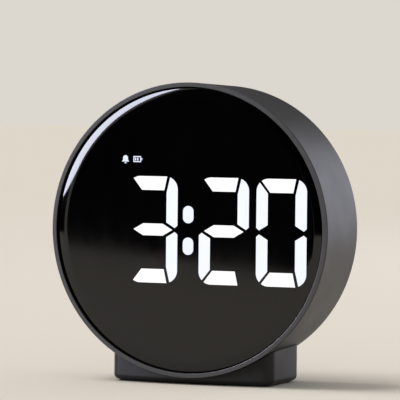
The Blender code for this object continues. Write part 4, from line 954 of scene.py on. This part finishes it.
class CLOCK_OT_rear_cover(bpy.types.Operator):
    """Make the rear cover with its holes, grille, posts and collar"""

    bl_idname = "clock.rear_cover"
    bl_label = "Rear Cover"

    def execute(self, context):
        outside = COVER_HIGH.y
        inside = COVER_INSIDE
        row_z = middle_of("button_up")[1]
        holes = [circle(BUTTON_HOLE_RADIUS, (middle_of(name)[0], row_z), 48) for name in BUTTONS]
        screws = screw_spots("cover_screw")
        holes += [circle(SCREW_HOLE_RADIUS, spot, 32) for spot in screws]
        low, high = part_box("usb_socket_shell")
        height = high.z - low.z + FIT * 2
        middle = (0, middle_of("usb_socket_shell")[1])
        holes.append(rounded_rectangle(high.x - low.x + FIT * 2, height, height * USB_CORNER, middle, 12))
        bm = bmesh.new()
        extrude(bm, circle(COVER_RADIUS, sides=FINE_SIDES), inside, outside, holes)
        plastic = textured_abs("cover_abs", settings("clock_colours").rear, 0.55, 0.7, 0.02)
        made = piece("cover", bm, plastic, smooth=12)
        counterbores = bmesh.new()
        floor = outside - COUNTERBORE_DEPTH
        for spot in screws:
            profile = [(0, floor), (COUNTERBORE_RADIUS, floor), (COUNTERBORE_RADIUS, REAR_Y), (0, REAR_Y)]
            spin(counterbores, profile, 48, spot)
        cut(made, piece("counterbores", counterbores, None), self.perforations(plastic))
        bevelled(made, settings("clock_rear").hole_edge)
        self.add_fittings(made)
        settle(made, "rear_plastic", "rear_cover")
        return {"FINISHED"}

    def perforations(self, material):
        """Cutters for the speaker's grille: one in the middle and two rings round it."""
        hole = bmesh.new()
        extrude(hole, circle(GRILLE_HOLE_RADIUS, sides=32), COVER_INSIDE - 1 * MM, COVER_HIGH.y + 1 * MM)
        centre = (0, middle_of("speaker_basket")[1])
        grille = [centre] + circle(GRILLE_PITCH, centre, 6) + circle(GRILLE_PITCH * 2, centre, 12)
        spots = [(x, 0, z + AXIS_Z) for x, z in grille]
        return copies("perforations", piece("hole", hole, None, lift=0), spots, material)

    def add_fittings(self, made):
        """Posts for the main board's screws and a collar round the speaker, inside the cover."""
        bm = bmesh.new()
        root = COVER_INSIDE + JOINED
        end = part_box("main_board")[1].y + FIT
        floor = end + BOARD_SCREW_DEPTH
        profile = [(0, floor), (SCREW_HOLE_RADIUS, floor), (SCREW_HOLE_RADIUS, end)]
        for spot in screw_spots("board_screw"):
            spin(bm, profile + [(POST_RADIUS, end), (POST_RADIUS, root), (0, root)], 32, spot)
        inner = SPEAKER_COLLAR_RADIUS
        outer = inner + SPEAKER_COLLAR_WALL
        lip = COVER_INSIDE - SPEAKER_COLLAR_DEPTH
        collar = [(inner, lip), (outer, lip), (outer, root), (inner, root)]
        spin(bm, collar, 64, (0, middle_of("speaker_basket")[1]))
        fittings = piece("fittings", bm, made.data.materials[0])
        joined = bmesh.new()
        joined.from_mesh(made.data)
        joined.from_mesh(fittings.data)
        joined.to_mesh(made.data)
        joined.free()
        bpy.data.objects.remove(fittings)


def mark_outlines(name, size):
    """Generic marks: a clock face for set, minus, plus and a bell."""
    bar = size * 0.2
    minus = [(-size / 2, -bar / 2), (size / 2, -bar / 2), (size / 2, bar / 2), (-size / 2, bar / 2)]
    upper = [(-bar / 2, bar / 2), (bar / 2, bar / 2), (bar / 2, size / 2), (-bar / 2, size / 2)]
    lower = [(x, -z) for x, z in upper]
    half = size / 2
    hands = [(-bar / 2, -bar / 2), (half * 0.55, -bar / 2), (half * 0.55, bar / 2), (bar / 2, bar / 2)]
    hands += [(bar / 2, half * 0.65), (-bar / 2, half * 0.65)]
    shapes = {
        "button_set": [hands],
        "button_down": [minus],
        "button_up": [minus, upper, lower],
        "button_alarm": bell_shape(size),
    }
    return shapes[name]


class CLOCK_OT_buttons(bpy.types.Operator):
    """Make the four button caps and their raised marks"""

    bl_idname = "clock.buttons"
    bl_label = "Buttons"

    def execute(self, context):
        rear = settings("clock_rear")
        colours = settings("clock_colours")
        plastic = textured_abs("button_abs", colours.button, 0.42, 0.4, 0.006)
        paint = moulded_nylon("mark_paint", colours.mark, 0.5)
        for name in BUTTONS:
            low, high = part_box(name)
            spot = middle_of(name)
            face = high.y
            flange = (high.x - low.x) / 2
            radius = flange - BUTTON_FLANGE_WIDTH
            under = COVER_INSIDE - FIT
            flange_front = under - BUTTON_FLANGE_THICKNESS
            corners = [
                (0, low.y, 0),
                (BUTTON_STEM_RADIUS, low.y, 0.1 * MM),
                (BUTTON_STEM_RADIUS, flange_front, 0),
                (flange, flange_front, 0.1 * MM),
                (flange, under, 0.1 * MM),
                (radius, under, 0),
                (radius, face, rear.cap_edge),
            ]
            dish = radius - rear.cap_edge - 0.3 * MM
            profile = filleted(corners)
            for k in range(9):
                share = 1 - k / 8
                profile.append((dish * share, face - rear.cap_dish * math.cos(share * math.pi / 2) ** 2))
            bm = bmesh.new()
            spin(bm, profile, 64, spot)
            settle(piece(f"{name}_cap", bm, plastic), "button_plastic", name, body=name)
            marks = bmesh.new()
            base = face - rear.cap_dish - 0.05 * MM
            top = base + rear.mark_height + 0.1 * MM
            for outline in mark_outlines(name, rear.mark):
                extrude(marks, moved(outline, *spot), base, top)
            if name == "button_set":
                rim = [circle(rear.mark * share, spot, 40) for share in (0.5, 0.38)]
                extrude(marks, rim[0], base, top, [rim[1]])
            settle(piece(f"{name}_mark", marks, paint, smooth=12), "button_plastic", body=name)
        return {"FINISHED"}


class CLOCK_OT_usb_socket(bpy.types.Operator):
    """Make the USB-C socket's shell and its gold contacts"""

    bl_idname = "clock.usb_socket"
    bl_label = "USB-C Socket"

    def execute(self, context):
        low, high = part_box("usb_socket_shell")
        z = middle_of("usb_socket_shell")[1]
        outer, inner = (
            rounded_rectangle(high.x - low.x - trim, height, height * USB_CORNER, (0, z), 12)
            for trim, height in ((trim, high.z - low.z - trim) for trim in (0, USB_WALL * 2))
        )
        bm = bmesh.new()
        extrude(bm, outer, low.y, high.y, [inner])
        made = piece("usb_shell", bm, plated_steel("nickel_steel", settings("clock_colours").steel, 0.24))
        bevelled(made, 0.1 * MM)
        settle(made, "nickel_steel", "usb_socket_shell")

        width, thickness, reach = USB_CONTACT
        contact = bmesh.new()
        extrude(contact, rounded_rectangle(width, thickness, 0.02 * MM, steps=2), 0, reach)
        part = piece("contact", contact, None, lift=0)
        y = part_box("usb_socket_core")[1].y - 3.4 * MM
        places = []
        for i in range(USB_CONTACTS_IN_ROW):
            x = (i - (USB_CONTACTS_IN_ROW - 1) / 2) * USB_CONTACT_PITCH
            places += [(x, y, z + AXIS_Z + face) for face in (-0.42 * MM, 0.42 * MM)]
        settle(copies("usb_contacts", part, places, gold_plate()), "nickel_steel")
        return {"FINISHED"}


def pan_head_screw(length_under_head):
    """A pan-head screw with a cross recess, its head's seat at Y 0 and its shank along +Y."""
    rear = settings("clock_rear")
    head = SCREW_HEAD_HEIGHT
    corners = [(0, -head, 0), (SCREW_HEAD_RADIUS, -head, 0.8 * MM)]
    corners += [(SCREW_HEAD_RADIUS, 0, 0.1 * MM), (SCREW_RADIUS, 0, 0)]
    profile = filleted(corners, 8)
    y = 0.4 * MM
    while y < length_under_head - 1.6 * MM:
        profile += [(SCREW_RADIUS, y), (SCREW_CORE_RADIUS, y + SCREW_PITCH / 2)]
        y += SCREW_PITCH
    profile += [(SCREW_RADIUS, y), (1.1 * MM, y + 0.4 * MM)]
    profile += [(0.2 * MM, length_under_head), (0, length_under_head)]
    bm = bmesh.new()
    spin(bm, profile, 32)
    made = piece("screw", bm, None, lift=0)
    wing = rear.recess_width / 2
    reach = 1.35 * MM
    quarter = [Vector((wing, wing)), Vector((wing, reach)), Vector((-wing, reach))]
    plus = [Matrix.Rotation(math.radians(90 * k), 2) @ corner for k in range(4) for corner in quarter]
    cross = bmesh.new()
    extrude(cross, plus, -head - 0.5 * MM, -head + rear.recess_depth)
    cut(made, piece("cross", cross, None, lift=0))
    return made


class CLOCK_OT_screws(bpy.types.Operator):
    """Make the cross-head screws of the cover, boards and foot"""

    bl_idname = "clock.screws"
    bl_label = "Screws"

    def execute(self, context):
        steel = plated_steel("black_zinc", settings("clock_colours").screw, 0.36, (1.0, 1.0, 1.0))
        turns = {
            "cover_screw": Matrix.Rotation(math.pi, 4, "Z"),
            "display_screw": Matrix.Rotation(math.pi, 4, "Z"),
            "board_screw": Matrix.Identity(4),
            "foot_screw": Matrix.Rotation(math.pi / 2, 4, "X"),
        }
        for prefix, turn in turns.items():
            names = [name for name in sorted(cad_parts) if name.startswith(prefix)]
            low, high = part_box(names[0])
            along = turn.to_3x3() @ Vector((0, 1, 0))
            whole = abs((high - low).dot(along))
            part = pan_head_screw(whole - SCREW_HEAD_HEIGHT)
            part.data.transform(turn)
            places = []
            for name in names:
                low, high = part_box(name)
                places.append((low + high) / 2 + along * (SCREW_HEAD_HEIGHT - whole / 2))
            settle(copies(f"{prefix}s", part, places, steel), "screw_steel", *names)
        return {"FINISHED"}


# ---------------------------------------------------------------- foot


def foot_outline(inset, steps=10):
    """Plan of the foot, drawn inset, as (x, y) points: bowed long sides that run into round corners."""
    s = settings("clock_foot")
    half_length = FOOT_HIGH.x
    half_depth = (FOOT_HIGH.y - FOOT_LOW.y) / 2
    middle_y = (FOOT_HIGH.y + FOOT_LOW.y) / 2
    bow_radius = (half_length**2 + s.bow**2) / (2 * s.bow)
    reach = bow_radius - s.corner
    turn = math.degrees(math.asin((half_length - s.corner) / reach))
    bow_y = half_depth - bow_radius
    corner = (half_length - s.corner, bow_y + reach * math.cos(math.radians(turn)))
    quarter = arc(corner, s.corner - inset, 0, 90 - turn, steps)
    quarter += arc((0, bow_y), bow_radius - inset, 90 - turn, 90, steps * 2)[1:]
    rear = quarter + [(-x, y) for x, y in reversed(quarter[:-1])]
    outline = rear + [(x, -y) for x, y in reversed(rear)]
    return [(x, y + middle_y) for x, y in outline]


class CLOCK_OT_foot(bpy.types.Operator):
    """Make the foot with the drum's seat, and its rubber pad with studs"""

    bl_idname = "clock.foot"
    bl_label = "Foot"

    def execute(self, context):
        s = settings("clock_foot")
        made = self.block("foot", 0, FOOT_LOW.z, s.bottom_edge, FOOT_HIGH.z + 6 * MM, 8, support=0.05 * MM)
        # The foot's darker colour is painted shade for the shade on its front under the drum.
        made.data.materials.append(textured_abs("foot_abs", settings("clock_colours").foot, 0.45, shine=0.3))
        front, back = FRONT_Y - SEAT_OVERRUN, REAR_Y + SEAT_OVERRUN
        profile = [(0, front), (drum_radius(front) + FIT, front), (drum_radius(back) + FIT, back), (0, back)]
        seat = bmesh.new()
        spin(seat, profile, FINE_SIDES)
        below = -1 * MM
        recess = bmesh.new()
        extrude(recess, foot_outline(s.pad_inset - FIT), below, PAD_HIGH.z + FIT, upright=True)
        bores = bmesh.new()
        holes = bmesh.new()
        head_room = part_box("foot_screw_left")[0].z + FOOT_COUNTERBORE_DEPTH
        for x, _ in screw_spots("foot_screw"):
            extrude(bores, circle(COUNTERBORE_RADIUS, (x, 0), 32), below, head_room, upright=True)
            extrude(holes, circle(SCREW_HOLE_RADIUS, (x, 0), 32), 0, 20 * MM, upright=True)
        cut(made, piece("seat", seat, None), piece("recess", recess, None, lift=0))
        cut(made, piece("bores", bores, None, lift=0), piece("holes", holes, None, lift=0))
        settle(made, "foot_plastic", "stand_base")

        rubber = moulded_rubber("pad_rubber", settings("clock_colours").rubber)
        pad = self.block("pad", s.pad_inset, s.stud_height, s.pad_edge, PAD_HIGH.z, steps=4)
        pad.data.materials.append(rubber)
        settle(pad, "foot_rubber", "base_pad")
        self.add_studs(rubber)
        return {"FINISHED"}

    def block(self, name, inset, bottom, edge, top, steps, support=0):
        """An upright block in the foot's plan, rounded along its bottom edge, with a loop just above that."""
        loops = []
        for k in range(steps + 1):
            angle = math.radians(90 * k / steps)
            outline = foot_outline(inset + edge * (1 - math.sin(angle)))
            loops.append([(x, y, bottom + edge * (1 - math.cos(angle))) for x, y in outline])
        if support:
            loops.append([(x, y, bottom + edge + support) for x, y in foot_outline(inset)])
        loops.append([(x, y, top) for x, y in foot_outline(inset)])
        bm = bmesh.new()
        loft(bm, loops)
        return piece(name, bm, None, lift=0)

    def add_studs(self, rubber):
        """Low round studs in rows under the pad."""
        s = settings("clock_foot")
        loops = [[(x, y, s.stud_height + 0.1 * MM) for x, y in circle(s.stud_radius, sides=12)]]
        for k in range(4):
            angle = math.radians(90 * k / 4)
            outline = circle(s.stud_radius * math.cos(angle), sides=12)
            loops.append([(x, y, s.stud_height * (1 - math.sin(angle))) for x, y in outline])
        bm = bmesh.new()
        loft(bm, loops)
        part = piece("stud", bm, None, lift=0, smooth=40)
        size = PAD_HIGH - PAD_LOW
        middle_y = (PAD_LOW.y + PAD_HIGH.y) / 2
        columns = int((size.x - 6 * MM) / s.stud_pitch)
        lines = int((size.y - 12 * MM) / s.stud_pitch)
        places = []
        for i in range(columns + 1):
            for j in range(lines + 1):
                places.append(((i - columns / 2) * s.stud_pitch, middle_y + (j - lines / 2) * s.stud_pitch, 0))
        settle(copies("pad_studs", part, places, rubber), "foot_rubber")


# ---------------------------------------------------------------- inner parts


class CLOCK_OT_inner_parts(bpy.types.Operator):
    """Give the inner solids their finishes, and put the LEDs on the display board"""

    bl_idname = "clock.inner_parts"
    bl_label = "Inner Parts"

    def execute(self, context):
        colours = settings("clock_colours")
        steel = plated_steel("drawn_steel", colours.steel, 0.3, (1.0, 1.0, 0.05))
        package = moulded_nylon("epoxy_package", linear("17181a"), 0.55)
        nylon = moulded_nylon("cream_nylon", linear("d8d2be"), 0.45)
        sheared = plated_steel("sheared_plate", linear("7c7e80"), 0.45, (1.0, 0.06, 1.0))
        finishes = {
            cell_foam(): ("lens_gasket", "battery_tape"),
            moulded_nylon("mask_sheet", linear("0b0b0c"), 0.7): ("segment_mask",),
            moulded_nylon("diffuser_film", linear("e8eaee"), 0.5): ("diffuser_sheet",),
            moulded_nylon("reflector_white", linear("f0f0ec"), 0.6): ("led_reflector",),
            solder_mask(): ("display_board", "main_board"),
            package: ("led_driver_chip", "controller_chip", "usb_socket_core"),
            steel: ("clock_crystal", "speaker_basket", "speaker_magnet"),
            nylon: ("display_ribbon_socket", "main_ribbon_socket", "battery_socket", "speaker_socket"),
            battery_laminate(): ("battery_cell",),
            flat_cable(): ("ribbon_cable",),
            wire_insulation("red_insulation", linear("a81c18")): ("battery_lead_plus", "speaker_lead_plus"),
            wire_insulation("black_insulation", linear("101010")): ("battery_lead_minus", "speaker_lead_minus"),
            pressed_paper(): ("speaker_cone",),
            sheared: ("ballast_left", "ballast_right"),
        }
        for button in BUTTONS:
            finishes[package] += (f"{button}_switch",)
            finishes[nylon] += (f"{button}_plunger",)
        for material, names in finishes.items():
            for name in names:
                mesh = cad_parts[name].data
                mesh.materials.clear()
                mesh.materials.append(material)
        self.add_leds()
        return {"FINISHED"}

    def add_leds(self):
        """Two small LED packages behind each upright or level bar."""
        s = settings("clock_display")
        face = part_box("display_board")[0].y - 0.05 * MM
        led = bmesh.new()
        extrude(led, rounded_rectangle(LED[0], LED[1], 0.1 * MM, steps=2), -LED[2], 0)
        part = piece("led", led, None, lift=0, smooth=12)
        inner_x = s.dot_width / 2 + s.dot_gap + s.digit_width / 2
        outer_x = inner_x + s.digit_width + s.digit_gap
        reach_x = s.digit_width / 2 - s.bar / 2
        reach_z = s.digit_height / 2 - s.cap / 2
        spots = []
        for x in (-outer_x, -inner_x, inner_x, outer_x):
            for z in (-reach_z, 0, reach_z):
                spots += [(x - 3 * MM, z), (x + 3 * MM, z)]
            for side in (-reach_x, reach_x):
                spots += [(x + side, z * MM) for z in (-14, -8, 8, 14)]
        spots += [(0, -s.dot_z), (0, s.dot_z), (BELL_SIGN_X, s.sign_z), (BATTERY_SIGN_X, s.sign_z)]
        places = [(x, face, z + AXIS_Z) for x, z in spots]
        package = moulded_nylon("led_package", linear("efe9c8"), 0.4)
        settle(copies("display_leds", part, places, package), "white_reflector")


# ---------------------------------------------------------------- stage


class CLOCK_OT_stage(bpy.types.Operator):
    """Make the pale floor, the soft lights and the camera"""

    bl_idname = "clock.stage"
    bl_label = "Stage"

    def execute(self, context):
        self.add_floor()
        self.add_lights()
        self.add_camera()
        context.scene.view_settings.view_transform = "Standard"
        return {"FINISHED"}

    def add_floor(self):
        bm = bmesh.new()
        bmesh.ops.create_grid(bm, x_segments=1, y_segments=1, size=6.0)
        paper = studio_paper("floor_paper", settings("clock_colours").floor)
        floor = piece("floor", bm, paper, lift=0)
        if floor.data.polygons[0].normal.z < 0:
            floor.data.flip_normals()
        # A black card mirrored in the flat of the lens, and a bright one mirrored only in its rounded rim
        black = studio_paper("black_card_paper", linear("030303"))
        self.add_card("left_black_card", black, (-0.36, -0.92, 0.5), (1.0, 1.0), 43)
        self.add_card("right_black_card", black, (0.46, -1.15, 0.6), (1.1, 1.2), 21)
        self.add_card("rear_black_card", black, (-0.31, 1.16, 0.47), (1.0, 0.94), 15)
        light = (*linear("e9edff"), 1)
        window = studio_paper("window_card_paper", (0, 0, 0), Emission_Color=light, Emission_Strength=20)
        self.add_card("window_card", window, (-0.95, -0.72, 0.58), (0.80, 0.93), -50, -25)
        self.add_card("low_black_card", black, (-1.0, -0.46, 0.075), (1.0, 0.15), -62)

    def add_card(self, name, material, place, size, turn, lean=0):
        """A card that only shows in reflections, so the light on the object stays plain."""
        bm = bmesh.new()
        bmesh.ops.create_grid(bm, x_segments=1, y_segments=1, size=0.5)
        upright = Matrix.Rotation(math.radians(90 + lean), 4, "X") @ Matrix.Diagonal((*size, 1, 1))
        place = Matrix.Translation(place) @ Matrix.Rotation(math.radians(turn), 4, "Z")
        bmesh.ops.transform(bm, matrix=place @ upright, verts=bm.verts)
        card = piece(name, bm, material, lift=0)
        card.visible_camera = False
        card.visible_diffuse = False
        card.visible_shadow = False

    def add_lights(self):
        sky = bpy.data.lights.new("sky_light", "SUN")
        sky.energy = 1.7
        sky.angle = math.radians(35)
        sky.color = linear("fffaf2")
        fill = bpy.data.lights.new("right_fill", "AREA")
        fill.size = 0.7
        fill.energy = 3.0
        fill.color = linear("e2e8ff")
        for data, place in ((sky, (-0.45, -0.16, 0.87)), (fill, (0.51, 1.33, 0.32))):
            lamp = bpy.data.objects.new(data.name, data)
            lamp.location = place
            lamp.rotation_euler = Vector(place).to_track_quat("Z", "Y").to_euler()
            lamp.visible_glossy = data is fill
            lamp.visible_camera = False
            bpy.context.scene.collection.objects.link(lamp)
        self.add_world()

    def add_world(self):
        """A dim surround that lights the object, and a pale one for the camera and for reflections."""
        world = bpy.data.worlds.new("studio")
        bpy.context.scene.world = world
        world.use_nodes = True
        tree = world.node_tree
        background = tree.nodes["Background"]
        background.inputs["Color"].default_value = (*settings("clock_colours").world, 1)
        path = node(tree, "ShaderNodeLightPath")
        links = {0: (path, "Is Camera Ray"), 1: (path, "Is Glossy Ray")}
        seen = node(tree, "ShaderNodeMath", links, operation="MAXIMUM")
        links = {0: (seen, "Value"), 1: (path, "Is Transmission Ray")}
        seen = node(tree, "ShaderNodeMath", links, operation="MAXIMUM")
        level = node(tree, "ShaderNodeMapRange", {"Value": (seen, "Value")}, {"To Min": 0.65, "To Max": 1.0})
        tree.links.new(level.outputs["Result"], background.inputs["Strength"])

    def add_camera(self):
        view = settings("clock_view")
        az, el = view.azimuth, view.elevation
        away = Vector((math.sin(az) * math.cos(el), -math.cos(az) * math.cos(el), math.sin(el)))
        right = Vector((math.cos(az), math.sin(az), 0))
        up = away.cross(right)
        turn, tip = view.aim_right, view.aim_up
        forward = -away * math.cos(turn) * math.cos(tip) + right * math.sin(turn) * math.cos(tip)
        forward += up * math.sin(tip)
        level = forward.cross(Vector((0, 0, 1))).normalized()
        top = level.cross(forward)
        side = level * math.cos(view.roll) + top * math.sin(view.roll)
        crown = top * math.cos(view.roll) - level * math.sin(view.roll)
        data = bpy.data.cameras.new("camera")
        data.sensor_width = 36
        data.lens = view.lens
        data.clip_end = 50
        camera = bpy.data.objects.new("camera", data)
        place = Vector((0, FRONT_Y, AXIS_Z)) + away * view.distance
        columns = Matrix((side, crown, -forward)).transposed().to_4x4()
        camera.matrix_world = Matrix.Translation(place) @ columns
        bpy.context.scene.collection.objects.link(camera)
        bpy.context.scene.camera = camera


# ---------------------------------------------------------------- panel and main


OPERATORS = (
    CLOCK_OT_stage,
    CLOCK_OT_front_ring,
    CLOCK_OT_front_lens,
    CLOCK_OT_lit_display,
    CLOCK_OT_shell,
    CLOCK_OT_rear_cover,
    CLOCK_OT_buttons,
    CLOCK_OT_usb_socket,
    CLOCK_OT_screws,
    CLOCK_OT_foot,
    CLOCK_OT_inner_parts,
)


class CLOCK_PT_panel(bpy.types.Panel):
    """Lists the clock's pieces and settings"""

    bl_idname = "CLOCK_PT_panel"
    bl_label = "Alarm Clock"
    bl_space_type = "VIEW_3D"
    bl_region_type = "UI"
    bl_category = "Alarm Clock"

    def draw(self, context):
        for operator in OPERATORS:
            self.layout.operator(operator.bl_idname)
        for name, group in GROUPS.items():
            box = self.layout.box()
            for key in group.__annotations__:
                box.prop(getattr(context.scene, name), key)


def register():
    for name, group in GROUPS.items():
        bpy.utils.register_class(group)
        setattr(bpy.types.Scene, name, bpy.props.PointerProperty(type=group))
    for item in (*OPERATORS, CLOCK_PT_panel):
        bpy.utils.register_class(item)


def unregister():
    for item in reversed((*OPERATORS, CLOCK_PT_panel)):
        bpy.utils.unregister_class(item)
    for name, group in reversed(GROUPS.items()):
        delattr(bpy.types.Scene, name)
        bpy.utils.unregister_class(group)


def main():
    register()
    for operator in OPERATORS:
        section, action = operator.bl_idname.split(".")
        getattr(getattr(bpy.ops, section), action)()
    for name in ("Cube", "Light"):
        if name in bpy.data.objects:
            bpy.data.objects.remove(bpy.data.objects[name])


if __name__ == "__main__":
    main()
